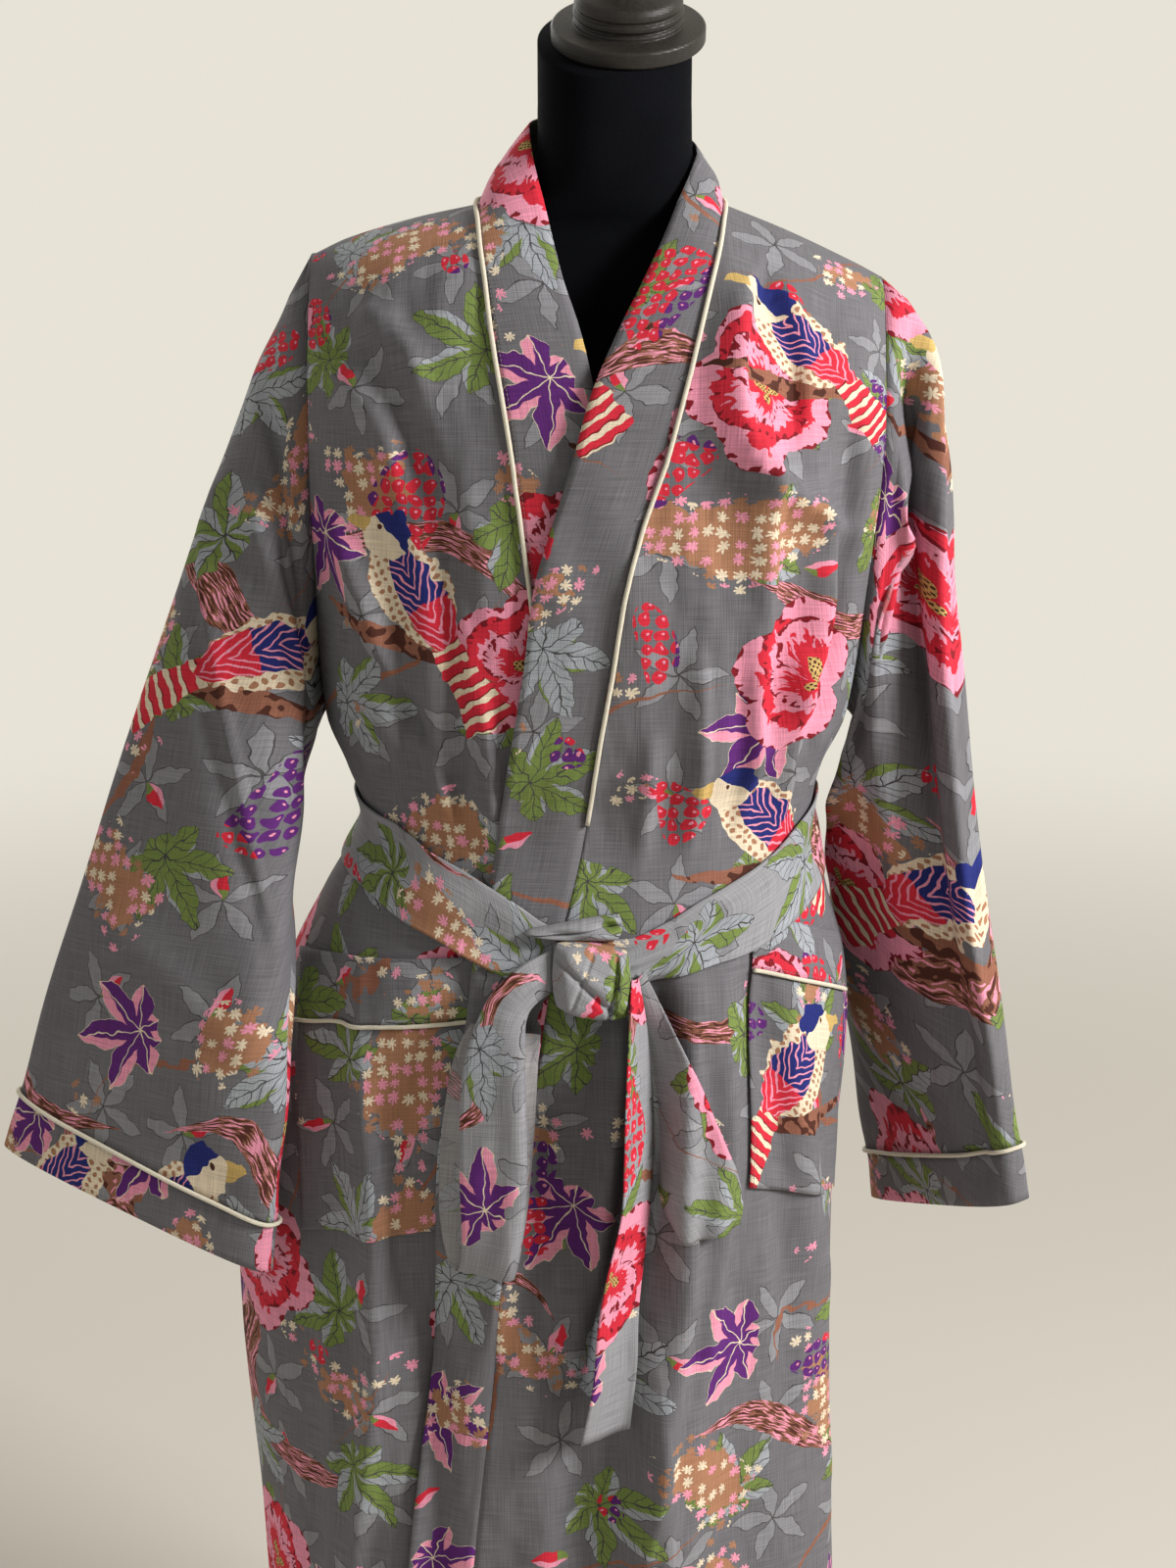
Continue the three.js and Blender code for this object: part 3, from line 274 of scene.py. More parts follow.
# Creases seen in the cloth: a ridge, or a trough where the depth is below 0, along a line from
# 1 to 2 that fades out at both ends. Bend is how far the line bulges, as a share of its length,
# and sharp is the width of the crease's steeper side, as a share of its width
CREASE_SHARE = 2.0       # by which every depth is multiplied
CREASE_SOFT_SIDE = 1.4   # the other side's width, as a share of the crease's width
CREASES = table("face x1 z1 x2 z2 width depth bend sharp", [
    (-1, 62, 860, 6, 330, 13, 6, 0.04, 0.5),
    (-1, 40, 884, -20, 520, 10, -6, 0.04, 1),
    (-1, 22, 868, 0, 640, 7, 4, 0.0, 1),
    (-1, -60, 868, -92, 560, 10, 5, 0.05, 0.6),
    (-1, 92, 876, 72, 560, 9, 5.5, 0.03, 0.6),
    (-1, 116, 868, 134, 500, 10, -5, 0.03, 1),
    (-1, 152, 740, 160, 260, 11, 6, 0.03, 0.6),
    (-1, -128, 660, -152, 230, 12, -6, 0.04, 1),
    (-1, -176, 860, -206, 300, 12, 6, 0.05, 0.6),
    (-1, -212, 640, -222, 240, 11, 5, 0.03, 1),
    (-1, 36, 600, 20, 230, 11, 5, 0.05, 0.6),
    (-1, -20, 560, -50, 230, 12, -5, 0.05, 1),
    (-1, 104, 1395, 132, 1262, 16, -6, 0.12, 0.4),
    (-1, 112, 1392, 186, 1196, 15, 9, -0.26, 0.3),
    (-1, 178, 1290, 172, 1100, 12, -6, 0.04, 0.5),
    (-1, 166, 1180, 92, 1010, 12, 6, 0.10, 0.5),
    (-1, 112, 1300, 104, 1010, 11, 5.5, 0.02, 0.5),
    (-1, 176, 1170, 146, 1020, 10, -5, 0.06, 0.6),
    (-1, 158, 1230, 128, 1060, 10, 5, 0.08, 0.5),
    (-1, 138, 1110, 128, 975, 8, 5, 0.03, 0.6),
    (-1, 96, 1110, 88, 972, 8, -4, 0.03, 1),
    (-1, 68, 1120, 62, 965, 8, 4.5, 0.03, 0.6),
    (-1, 34, 1060, 26, 950, 6, 3, 0.03, 1),
    (-1, -192, 1210, -150, 1040, 12, 6, 0.08, 0.5),
    (-1, -176, 1120, -118, 1000, 10, -5, 0.08, 0.6),
    (-1, -142, 1060, -100, 965, 8, 4.5, 0.06, 0.6),
    (-1, -110, 1180, -106, 975, 9, -5, 0.03, 0.6),
    (-1, -84, 1090, -78, 970, 7, 4, 0.03, 1),
    (-1, -172, 1366, -118, 1300, 11, 4.5, 0.10, 0.6),
    (-1, -196, 1330, -140, 1230, 12, 5, 0.12, 0.5),
    (-1, -150, 1290, -100, 1150, 12, -4, 0.06, 1),
    (1, 60, 930, 72, 540, 12, 7, 0.04, 0.6),
    (1, 0, 930, -4, 460, 12, -7, 0.04, 1),
    (1, -60, 930, -84, 500, 12, 7, 0.04, 0.6),
    (1, 112, 930, 128, 600, 11, -5, 0.04, 1),
    (1, 160, 860, 176, 320, 11, 6, 0.04, 0.6),
    (1, -150, 930, -196, 560, 11, 6, 0.04, 0.6),
    (1, 40, 1120, 36, 975, 9, 5, 0.03, 0.6),
    (1, -30, 1130, -30, 975, 9, -5, 0.03, 1),
    (1, -110, 1130, -100, 975, 9, 5, 0.03, 0.6),
    (1, 120, 1130, 112, 975, 9, -5, 0.03, 1),
    (1, 176, 1290, 60, 1150, 14, 5, 0.10, 0.5),
    (1, -176, 1290, -60, 1150, 14, 5, -0.10, 0.5),
    (1, 160, 1160, 90, 1040, 12, 5, 0.10, 0.5),
    (1, -160, 1160, -90, 1040, 12, 5, -0.10, 0.5),
])
# Creases of the sleeves, by turn round the sleeve from the armpit and by share of its length;
# the depths below 0 are troughs, and the deepest is the recess down the left sleeve's front
SLEEVE_CREASES = table("side turn1 along1 turn2 along2 width depth", [
    (-1, 0.46, 0.40, 0.06, 0.47, 0.011, 4.5),
    (-1, 0.46, 0.425, 0.10, 0.50, 0.016, -3.5),
    (-1, 0.08, 0.10, 0.42, 0.30, 0.030, 6.0),
    (-1, 0.20, 0.03, 0.46, 0.20, 0.026, -5.5),
    (-1, 0.28, 0.24, 0.47, 0.36, 0.022, 5.0),
    (-1, 0.05, 0.34, 0.24, 0.60, 0.024, -5.0),
    (-1, 0.14, 0.62, 0.42, 0.72, 0.020, 4.0),
    (-1, 0.10, 0.56, 0.34, 0.90, 0.032, 5.0),
    (-1, 0.60, 0.20, 0.90, 0.32, 0.030, 5.0),
    (-1, 0.56, 0.44, 0.86, 0.50, 0.026, -5.0),
    (-1, 0.60, 0.66, 0.90, 0.78, 0.026, 4.0),
    (1, 0.06, 0.08, 0.34, 0.24, 0.028, 6.0),
    (1, 0.14, 0.16, 0.44, 0.38, 0.026, -5.5),
    (1, 0.375, -0.02, 0.365, 0.66, 0.040, -27.0),
    (1, 0.365, 0.40, 0.372, 1.00, 0.036, -9.0),
    (1, 0.292, 0.02, 0.280, 0.70, 0.026, 9.0),
    (1, 0.468, 0.02, 0.464, 0.86, 0.022, 6.0),
    (1, 0.08, 0.36, 0.30, 0.50, 0.024, 5.0),
    (1, 0.06, 0.48, 0.28, 0.62, 0.022, -4.5),
    (1, 0.12, 0.62, 0.34, 0.84, 0.026, 4.5),
    (1, 0.60, 0.16, 0.90, 0.30, 0.030, 5.0),
    (1, 0.58, 0.42, 0.88, 0.52, 0.026, -5.0),
    (1, 0.60, 0.62, 0.90, 0.72, 0.026, 4.0),
])


def mix(a, b, t):
    return a + (b - a) * t


def smoothstep(low, high, value):
    t = np.clip((np.asarray(value, float) - low) / (high - low), 0, 1)
    return t * t * (3 - 2 * t)


def unit(v):
    size = np.linalg.norm(v, axis=-1, keepdims=True)
    return v / np.where(size == 0, 1, size)


def round_power(value, power):
    """A sine or cosine bent for a rounded box with this power."""
    return np.sign(value) * np.abs(value) ** (2 / power)


def running(steps):
    """Running sums of steps, from 0."""
    return np.concatenate([[0], np.cumsum(steps)])


def stations_of(rows, steps):
    """Places down a table's rows, with this many steps from row to row."""
    return np.linspace(0, len(rows) - 1, (len(rows) - 1) * steps + 1)


def sample(rows, key, name, value):
    """A smooth curve through a table's rows, by the slopes of each row's neighbours."""
    at = np.array([row[key] for row in rows], float)
    values = np.array([row[name] for row in rows], float)
    last = len(rows) - 1
    low = np.maximum(np.arange(len(rows)) - 1, 0)
    high = np.minimum(np.arange(len(rows)) + 1, last)
    slope = (values[high] - values[low]) / (at[high] - at[low])
    v = np.clip(value, at[0], at[-1])
    k = np.clip(np.searchsorted(at, v, side="left") - 1, 0, last - 1)
    span = at[k + 1] - at[k]
    t = (v - at[k]) / span
    ends = (2 * t ** 3 - 3 * t ** 2 + 1) * values[k] + (3 * t ** 2 - 2 * t ** 3) * values[k + 1]
    return ends + ((t ** 3 - 2 * t ** 2 + t) * slope[k] + (t ** 3 - t ** 2) * slope[k + 1]) * span


def groove(across, width):
    """A soft hump, 1 in its middle and nearly 0 from twice the width."""
    return np.exp(-(across / width) ** 2)


def armhole_half(z):
    t = np.clip((z - ARMPIT_Z) / (CHEST_Z - ARMPIT_Z), 0, 1)
    return ARMHOLE_HALF * np.sin(t * math.pi / 2) ** 0.75


def section(face, z):
    """The body's section at a level, or at each of an array of levels."""
    level = np.minimum(z, CHEST_Z)
    depth = sample(BODY, "z", "front" if face < 0 else "back", level)
    power = sample(BODY, "z", "round", level)
    start = np.arcsin((armhole_half(level) / depth) ** (power / 2))
    stretch = np.cos(start) ** (2 / power)
    left = sample(BODY, "z", "left", level) / stretch
    right = sample(BODY, "z", "right", level) / stretch
    return {"face": face, "depth": depth, "power": power, "start": start, "left": left, "right": right}


def section_points(s, angles):
    """Points and outward normals of a section, the angle running from the wearer's left to the right."""
    c = np.cos(angles)
    width = np.where(c < 0, s["left"], s["right"])
    p = s["power"]
    x = width * round_power(c, p)
    y = s["face"] * s["depth"] * np.abs(np.sin(angles)) ** (2 / p)
    nx = np.sign(x) * (np.abs(x) / width) ** (p - 1) / width
    ny = s["face"] * (np.abs(y) / s["depth"]) ** (p - 1) / s["depth"]
    return x, y, unit(np.stack([nx, ny, 0 * nx], -1))


def angle_at(s, x):
    x = np.asarray(x, float)
    width = np.where(x < 0, s["left"], s["right"])
    c = np.arccos(np.clip(np.abs(x) / width, 0, 1) ** (s["power"] / 2))
    return np.where(x < 0, math.pi - c, c)


def layer_depth(z):
    waist = smoothstep(1030, 1000, z) * smoothstep(880, 908, z)
    return mix(LAYER, LAYER_WAIST, waist) * smoothstep(1400, 1325, z)


def layer_at(x, z):
    return layer_depth(z) * smoothstep(165, 92, x)


def fold_at(face, x, z):
    offset = 0 * (x + z)
    for fold in FOLDS:
        if fold["face"] != face:
            continue
        t = np.clip((fold["topZ"] - z) / (fold["topZ"] - fold["lowZ"]), 0, 1)
        across = x - mix(fold["topX"], fold["lowX"], t)
        if fold["topZ"] > 1000:
            fade = smoothstep(fold["topZ"] + 20, fold["topZ"] - 90, z) * smoothstep(960, 1040, z)
        else:
            fade = smoothstep(fold["topZ"] + 20, fold["topZ"] - 60, z) * smoothstep(912, 860, z)
        offset = offset + fold["depth"] * groove(across, fold["width"]) * fade
    return offset


def crease_at(face, x, z):
    """The finer creases that this script adds on both layers alike."""
    offset = 0 * (x + z)
    for c in CREASES:
        if c["face"] != face:
            continue
        dx, dz = c["x2"] - c["x1"], c["z2"] - c["z1"]
        size = math.hypot(dx, dz)
        along = ((x - c["x1"]) * dx + (z - c["z1"]) * dz) / size ** 2
        bend = c["bend"] * size * np.sin(np.pi * np.clip(along, 0, 1))
        across = ((x - c["x1"]) * dz - (z - c["z1"]) * dx) / size + bend
        ends = smoothstep(-0.15, 0.25, along) * smoothstep(1.15, 0.7, along)
        reach = c["width"] * np.where(across > 0, CREASE_SOFT_SIDE, c["sharp"])
        offset = offset + CREASE_SHARE * c["depth"] * ends * groove(across, reach)
    slow = np.sin(x * 0.061 + z * 0.013 + 2 * face) + np.sin(x * 0.037 - z * 0.029 + 1)
    quick = np.sin(x * 0.13 + 1.7 * np.sin(z * 0.021)) * np.sin(z * 0.017 + 0.6)
    fine = np.sin(x * 0.31 + 2.3 * np.sin(z * 0.043)) * np.sin(z * 0.09 + 1.9 * np.sin(x * 0.05))
    waist = smoothstep(70, 20, np.abs(z - 930))
    slight = 1.1 * slow + 1.3 * quick + 0.5 * fine
    return (offset + slight) * (1 - 0.7 * waist) * smoothstep(1412, 1372, z)


def shoulder_point(face, x):
    across = np.abs(x)
    side = np.where(x < 0, 0, 1)
    reach = np.clip(across, NECK_X, 207)
    z = np.where(side == 0, sample(SHOULDER, "x", "left", reach), sample(SHOULDER, "x", "right", reach))
    inside = np.sqrt(np.clip(1 - (x / NECK_X) ** 2, 0, 1))
    if face < 0:
        inside = inside * 0
    y = SHOULDER_Y + NECKLINE_DEPTH * inside
    return y, z + NAPE_RISE * inside, mix(SHOULDER_CURL, NAPE_CURL, inside) if face > 0 else SHOULDER_CURL


def body_points(s, angles, z, rise, offset, extra=True):
    """Points of the body at section angles; rise is the angle over the shoulder, 0 to pi / 2."""
    x, y, normal = section_points(s, angles)
    out = offset + fold_at(s["face"], x, z)
    level = z if rise == 0 else mix(CHEST_Z, SHOULDER_Z, math.sin(rise))
    if extra:
        out = out + crease_at(s["face"], x, level) * smoothstep(0, EDGE_CALM, edge_room(s, x))
    if rise == 0:
        point = np.stack([x, y, z + 0 * x], -1)
        return point + normal * out[..., None]
    ridge_y, ridge_z, curl = shoulder_point(s["face"], x)
    rounded = max(math.cos(rise), 0) ** curl
    point = np.stack([x, mix(ridge_y, y, rounded), mix(CHEST_Z, ridge_z, math.sin(rise))], -1)
    lift = max(math.cos(rise), 0)
    normal = unit(normal * lift + np.array([0, 0, math.sin(rise)]))
    return point + normal * out[..., None]


def edge_room(s, x):
    """Room to the nearer side seam or armhole, where no crease may part the seam."""
    return np.minimum(s["right"] - x, x + s["left"])


def section_lengths(s, angles):
    """Length round the section to each of the angles from the first."""
    x, y, _ = section_points(s, angles)
    return running(np.hypot(np.diff(x), np.diff(y)))


def even_angles(s, begin, end, count):
    """Angles that part a stretch of the section into equal lengths."""
    fine = np.linspace(begin, end, 241)
    length = section_lengths(s, fine)
    return np.interp(np.linspace(0, length[-1], count + 1), length, fine)


def arc_from_centre(s, angles):
    """Length round the section from the middle of the front or back."""
    fine = np.linspace(0, math.pi, 481)
    length = section_lengths(s, fine)
    middle = np.interp(math.pi / 2, fine, length)
    return middle - np.interp(angles, fine, length)


# Counts of the fine grids
PANEL_COLUMNS = 84
BAND_COLUMNS = 10
BACK_SIDE_COLUMNS = 36
BACK_NECK_COLUMNS = 40
BELT_COLUMNS = 300
BELT_ROWS = 28
ARMPIT_ROW = 144
CHEST_ROWS = 32
SHOULDER_ROWS = 22
LEVELS = [*np.linspace(HEM_Z, ARMPIT_Z, ARMPIT_ROW + 1), *np.linspace(ARMPIT_Z, CHEST_Z, CHEST_ROWS + 1)[1:]]
RISES = [math.radians(v) for v in np.linspace(0, 90, SHOULDER_ROWS + 1)[1:]]


def body_rows(per_row):
    rows = [per_row(float(z), 0) for z in LEVELS]
    rows += [per_row(CHEST_Z, rise) for rise in RISES]
    return rows


def row_heights(grid, column):
    """Length up the cloth to each row, along one column."""
    return running(np.linalg.norm(np.diff(grid[:, column], axis=0), axis=-1))


def grid_normals(grid, wrap=False):
    if wrap:
        across = np.roll(grid, -1, axis=1) - np.roll(grid, 1, axis=1)
    else:
        padded = np.concatenate([grid[:, :1], grid, grid[:, -1:]], axis=1)
        across = padded[:, 2:] - padded[:, :-2]
    tall = np.concatenate([grid[:1], grid, grid[-1:]], axis=0)
    up = tall[2:] - tall[:-2]
    return unit(np.cross(across, up))


def front_skin(side, top):
    """One front with its band as a single skin, from the side seam to the free edge."""
    seam_name, free_name = ("topSeam", "topFree") if top else ("underSeam", "underFree")
    edge_names = ("topX", "topY", "topZ") if top else ("underX", "underY", "underZ")
    arcs = []

    def per_row(z, rise):
        s = section(-1, z)
        begin = s["start"] if side > 0 else math.pi - s["start"]
        level = z if rise == 0 else mix(CHEST_Z, SHOULDER_Z, math.sin(rise))
        seam_x = sample(BAND if rise == 0 else COLLAR, "z", seam_name, level)
        end = float(angle_at(s, float(seam_x)))
        angles = even_angles(s, begin, end, PANEL_COLUMNS)
        if rise == 0:
            free = float(angle_at(s, float(sample(BAND, "z", free_name, level))))
            angles = np.concatenate([angles, np.linspace(end, free, BAND_COLUMNS + 1)[1:]])
        x, _, _ = section_points(s, angles)
        layer = layer_at(x, level) if top else np.zeros_like(x)
        row = body_points(s, angles, z, rise, layer)
        arcs.append(arc_from_centre(s, angles[:PANEL_COLUMNS + 1]))
        if rise > 0:
            edge = np.array([float(sample(COLLAR, "z", name, level)) for name in edge_names])
            if top:
                edge[1] -= float(layer_depth(level))
            seam = row[PANEL_COLUMNS]
            t = np.linspace(0, 1, BAND_COLUMNS + 1)[1:, None]
            away = unit(np.array([seam[0] + edge[0] - 20, (seam[1] + edge[1]) * 0.4, 60]))
            band = mix(seam, edge, t) + away * 5 * np.sin(np.pi * t) * math.sin(rise)
            row = np.concatenate([row, band])
        if rise == 0 and z <= ARMPIT_Z:
            row[0, 1] = -SEAM / 2
        if math.cos(rise) < 0.001:
            row[:PANEL_COLUMNS + 1, 1] = SHOULDER_Y - SEAM / 2
        return row

    grid = np.array(body_rows(per_row))
    return grid, np.array(arcs)


def nape_rows(side, count=16):
    x_name, z_name = ("rightX", "rightZ") if side > 0 else ("leftX", "leftZ")
    rows = []
    for degrees in np.linspace(0, 90, count + 1)[1:]:
        angle = math.radians(degrees)
        rise = NAPE_RISE * math.sin(angle) + NAPE_LIFT
        seam = np.array([side * NECK_X * math.cos(angle), SHOULDER_Y + NECKLINE_DEPTH * math.sin(angle),
                         SHOULDER_Z + rise])
        edge = np.array([float(sample(NAPE, "angle", name, degrees)) for name in (x_name, "y", z_name)])
        if degrees == 90:
            edge[0] = seam[0] = side * SEAM / 2
        t = np.linspace(0, 1, BAND_COLUMNS + 1)[:, None]
        away = unit(np.array([seam[0], seam[1], 20]))
        rows.append(mix(seam, edge, t) + away * 4 * np.sin(np.pi * t))
    return np.array(rows)


def back_skin():
    arcs = []

    def per_row(z, rise):
        s = section(1, z)
        left, right = float(angle_at(s, -NECK_X)), float(angle_at(s, NECK_X))
        angles = np.concatenate([
            even_angles(s, math.pi - s["start"], left, BACK_SIDE_COLUMNS)[:-1],
            even_angles(s, left, right, BACK_NECK_COLUMNS)[:-1],
            even_angles(s, right, s["start"], BACK_SIDE_COLUMNS),
        ])
        row = body_points(s, angles, z, rise, np.zeros_like(angles))
        arcs.append(arc_from_centre(s, angles))
        if rise == 0 and z <= ARMPIT_Z:
            row[[0, -1], 1] = SEAM / 2
        return row

    grid = np.array(body_rows(per_row))
    grid[-1, :, 1] = np.maximum(grid[-1, :, 1], SHOULDER_Y + SEAM / 2)
    return grid, np.array(arcs)


def sleeve_rings(side, rows, front, back, steps=7):
    """Rings of a sleeve: the armhole's edge, then the sleeve's sections down to the cuff."""
    front_edge = front[ARMPIT_ROW:, 0]
    back_edge = back[ARMPIT_ROW:, 0 if side < 0 else -1]
    armhole = np.concatenate([front_edge, back_edge[1:-1][::-1]]) + np.array([side * SEAM, 0, 0])
    count = len(armhole)
    half = len(front_edge) - 1
    low_z, high_z = armhole[0, 2], armhole[half, 2]
    level = np.clip((armhole[:, 2] - low_z) / (high_z - low_z), 0, 1) * 2 - 1
    j = np.arange(count)
    even = np.where(j <= half, 1 - j / half, (j - half) / (count - half))
    sign = np.where(j <= half, 1, -1)
    rings = [armhole]
    for i in stations_of(rows, steps):
        value = {name: float(sample(rows, "i", name, i)) for name in SLEEVE_COLUMNS.split()}
        top = np.array([value["topX"], value["topY"], value["topZ"]])
        low = np.array([value["lowX"], value["lowY"], value["lowZ"]])
        ends = []
        for k in (max(i - 1, 0), min(i + 1, len(rows) - 1)):
            ends.append([float(sample(rows, "i", "top" + a, k)) + float(sample(rows, "i", "low" + a, k))
                         for a in "XYZ"])
        along = (np.array(ends[1]) - np.array(ends[0])) / 2
        across = (top - low) / 2
        deep = unit(np.cross(along, across))
        if deep[1] > 0:
            deep = -deep
        deep = unit(mix(np.array([0, -1, 0]), deep, float(smoothstep(-1, 4, i))))
        p = value["round"]
        matched = np.arccos(np.sign(level) * np.abs(level) ** (p / 2)) / math.pi
        turn = math.pi * mix(matched, even, float(smoothstep(0, 5, i)))
        c, s = np.cos(turn), np.sin(turn) * sign
        u, v = round_power(c, p)[:, None], round_power(s, p)[:, None]
        rings.append((top + low) / 2 + u * across + v * value["deep"] * deep)
    return np.array(rings), steps


def sleeve_creases(side, rings):
    """Shifts of the sleeve's rings for its creases, less at the seams."""
    count = rings.shape[1]
    turn = np.arange(count)[None, :] / count + np.zeros(len(rings))[:, None]
    along = np.linspace(0, 1, len(rings))[:, None] + 0 * turn
    shift = 0.8 * np.sin(along * 31 + turn * 19) + 0.6 * np.sin(turn * 44 - along * 17)
    for c in SLEEVE_CREASES:
        if c["side"] != side:
            continue
        dx, dz = c["turn2"] - c["turn1"], c["along2"] - c["along1"]
        size = math.hypot(dx, dz)
        t = ((turn - c["turn1"]) * dx + (along - c["along1"]) * dz) / size ** 2
        across = ((turn - c["turn1"]) * dz - (along - c["along1"]) * dx) / size
        ends = smoothstep(-0.1, 0.25, t) * smoothstep(1.1, 0.7, t)
        shift = shift + c["depth"] * ends * groove(across, c["width"])
    return shift * smoothstep(0, 0.04, along) * smoothstep(1, 0.9, along)


# Meshes

def in_scene(name, data):
    thing = bpy.data.objects.new(name, data)
    bpy.context.scene.collection.objects.link(thing)
    return thing


def mesh_object(name, points, faces, materials, uv=None):
    """A smooth piece from points in millimetres, with uv in metres for each corner of each face."""
    mesh = bpy.data.meshes.new(name)
    mesh.from_pydata((np.asarray(points) * 0.001).tolist(), [], faces if uv is None else faces.tolist())
    if uv is not None:
        layer = mesh.uv_layers.new(name="cut")
        layer.data.foreach_set("uv", np.asarray(uv, np.float32).ravel())
    mesh.polygons.foreach_set("use_smooth", [True] * len(mesh.polygons))
    mesh.update()
    for material in materials:
        mesh.materials.append(material)
    return in_scene(name, mesh)


def turned_out(piece):
    """Face the piece's closed surface outward."""
    mesh = piece.data
    mesh.calc_loop_triangles()
    corners = np.empty(len(mesh.vertices) * 3)
    mesh.vertices.foreach_get("co", corners)
    triangles = np.empty(len(mesh.loop_triangles) * 3, int)
    mesh.loop_triangles.foreach_get("vertices", triangles)
    a, b, c = corners.reshape(-1, 3)[triangles.reshape(-1, 3)].transpose(1, 0, 2)
    if (a * np.cross(b, c)).sum() < 0:
        mesh.flip_normals()
    return piece


def shell(name, outer, inner, materials, uv, wrap=False):
    """A closed thin body between two grids, with its face's and its reverse's material.

    uv is in millimetres over the outer grid.
    """
    rows, columns = outer.shape[:2]
    half = rows * columns
    across = np.arange(columns if wrap else columns - 1)
    down = np.arange(rows - 1)
    i, j = (part.ravel() for part in np.meshgrid(down, across, indexing="ij"))

    def rim(r, c, step_down, step_across, near, far):
        after, beyond = r + step_down, c + step_across
        return [(r, c, near), (after, beyond, near), (after, beyond, far), (r, c, far)]

    quads = [
        [(i, j, 0), (i, j + 1, 0), (i + 1, j + 1, 0), (i + 1, j, 0)],
        [(i, j, 1), (i + 1, j, 1), (i + 1, j + 1, 1), (i, j + 1, 1)],
        rim(0 * across, across, 0, 1, 1, 0),
        rim(0 * across + rows - 1, across, 0, 1, 0, 1),
    ]
    if not wrap:
        quads.append(rim(down, 0 * down, 1, 0, 0, 1))
        quads.append(rim(down, 0 * down + columns - 1, 1, 0, 1, 0))
    faces = [np.stack([k * half + r * columns + c % columns for r, c, k in quad], -1) for quad in quads]
    corners = [np.stack([uv[r, c] for r, c, _ in quad], 1) for quad in quads]
    points = np.concatenate([outer.reshape(-1, 3), inner.reshape(-1, 3)])
    piece = mesh_object(name, points, np.concatenate(faces), materials, np.concatenate(corners) * 0.001)
    reverse = np.zeros(sum(len(part) for part in faces), int)
    reverse[len(faces[0]):2 * len(faces[0])] = 1
    piece.data.polygons.foreach_set("material_index", reverse)
    return turned_out(piece)


def ring_faces(rows, columns, closed=False):
    """Quads from ring to ring, and from the last ring back to the first if closed."""
    faces = []
    for i in range(rows if closed else rows - 1):
        here, below = i * columns, (i + 1) % rows * columns
        for j in range(columns):
            after = (j + 1) % columns
            faces.append([here + j, here + after, below + after, below + j])
    return faces


def lofted(name, rings, material):
    """A closed body through rings, with a flat fan at each end."""
    rings = np.asarray(rings)
    rows, columns = rings.shape[:2]
    points = list(rings.reshape(-1, 3))
    faces = ring_faces(rows, columns)
    for start in (0, (rows - 1) * columns):
        hub = len(points)
        points.append(np.mean(rings[start // columns], axis=0))
        for j in range(columns):
            a, b = start + j, start + (j + 1) % columns
            faces.append([hub, b, a] if start == 0 else [hub, a, b])
    return turned_out(mesh_object(name, points, faces, [material]))


def cord_rings(points, outward, radius, closed=False, sides=12):
    points, outward = np.asarray(points), np.asarray(outward)
    if closed:
        along = unit(np.roll(points, -1, axis=0) - np.roll(points, 1, axis=0))
    else:
        padded = np.concatenate([points[:1], points, points[-1:]])
        along = unit(padded[2:] - padded[:-2])
    side = unit(np.cross(along, outward))
    up = unit(np.cross(side, along))
    centre = points + up * (radius + SEAM)
    angles = np.linspace(0, 2 * math.pi, sides, endpoint=False)[None, :, None]
    return centre[:, None] + radius * (np.cos(angles) * side[:, None] + np.sin(angles) * up[:, None])


def cord(name, points, outward, radius, material, closed=False):
    rings = cord_rings(points, outward, radius, closed)
    if not closed:
        return lofted(name, rings, material)
    faces = ring_faces(*rings.shape[:2], closed=True)
    return turned_out(mesh_object(name, rings.reshape(-1, 3), faces, [material]))


def trimmed(grid, column, neighbour, amount):
    """The grid with one column moved towards its neighbour."""
    result = grid.copy()
    towards = unit(grid[:, neighbour] - grid[:, column])
    result[:, column] = grid[:, column] + towards * amount
    return result


# Pieces

PRINTED = "printed_cotton"
BELTED = "belt_cotton"


def keep(piece, node):
    """Puts a piece on the body and hides the node that it replaces."""
    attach(piece, "root")
    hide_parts(node)


def cloth_area(grid):
    """Area of a grid of points, in square metres."""
    a, b, c, d = grid[:-1, :-1], grid[:-1, 1:], grid[1:, 1:], grid[1:, :-1]
    first = np.linalg.norm(np.cross(b - a, c - a), axis=-1)
    second = np.linalg.norm(np.cross(c - a, d - a), axis=-1)
    return float((first + second).sum()) / 2e6


def declare_sheet(grid, wrap=False):
    """Works out the cut of what shows, its widest row, its longest column and its area, but keeps none of
    them.
    """
    if wrap:
        grid = np.concatenate([grid, grid[:, :1]], axis=1)
    width = row_lengths(grid)[:, -1].max() / 1000
    length = row_lengths(grid.transpose(1, 0, 2))[:, -1].max() / 1000
    area = cloth_area(grid)


def cloth(node, grid, uv, kind, inner, wrap=False):
    """A piece of cloth between two grids, with its cut's print; the sheet's size is worked out but not kept.
    """
    piece = shell("cloth_" + node, grid, inner, COTTONS[kind], uv, wrap)
    keep(piece, node)
    declare_sheet(grid, wrap)
    return piece


def placed_uv(u, v, turn, shift):
    """The print lies on each cut with its own turn, in degrees, and its own shift, in millimetres."""
    a = math.radians(turn)
    return np.stack([u * math.cos(a) - v * math.sin(a) + shift[0],
                     u * math.sin(a) + v * math.cos(a) + shift[1]], -1)


def row_lengths(grid, wrap=False):
    """Length along each row to each of its points, and on to the first again where it wraps."""
    closed = np.concatenate([grid, grid[:, :1]], axis=1) if wrap else grid
    across = np.linalg.norm(np.diff(closed, axis=1), axis=-1)
    return np.concatenate([np.zeros((len(grid), 1)), np.cumsum(across, axis=1)], axis=1)


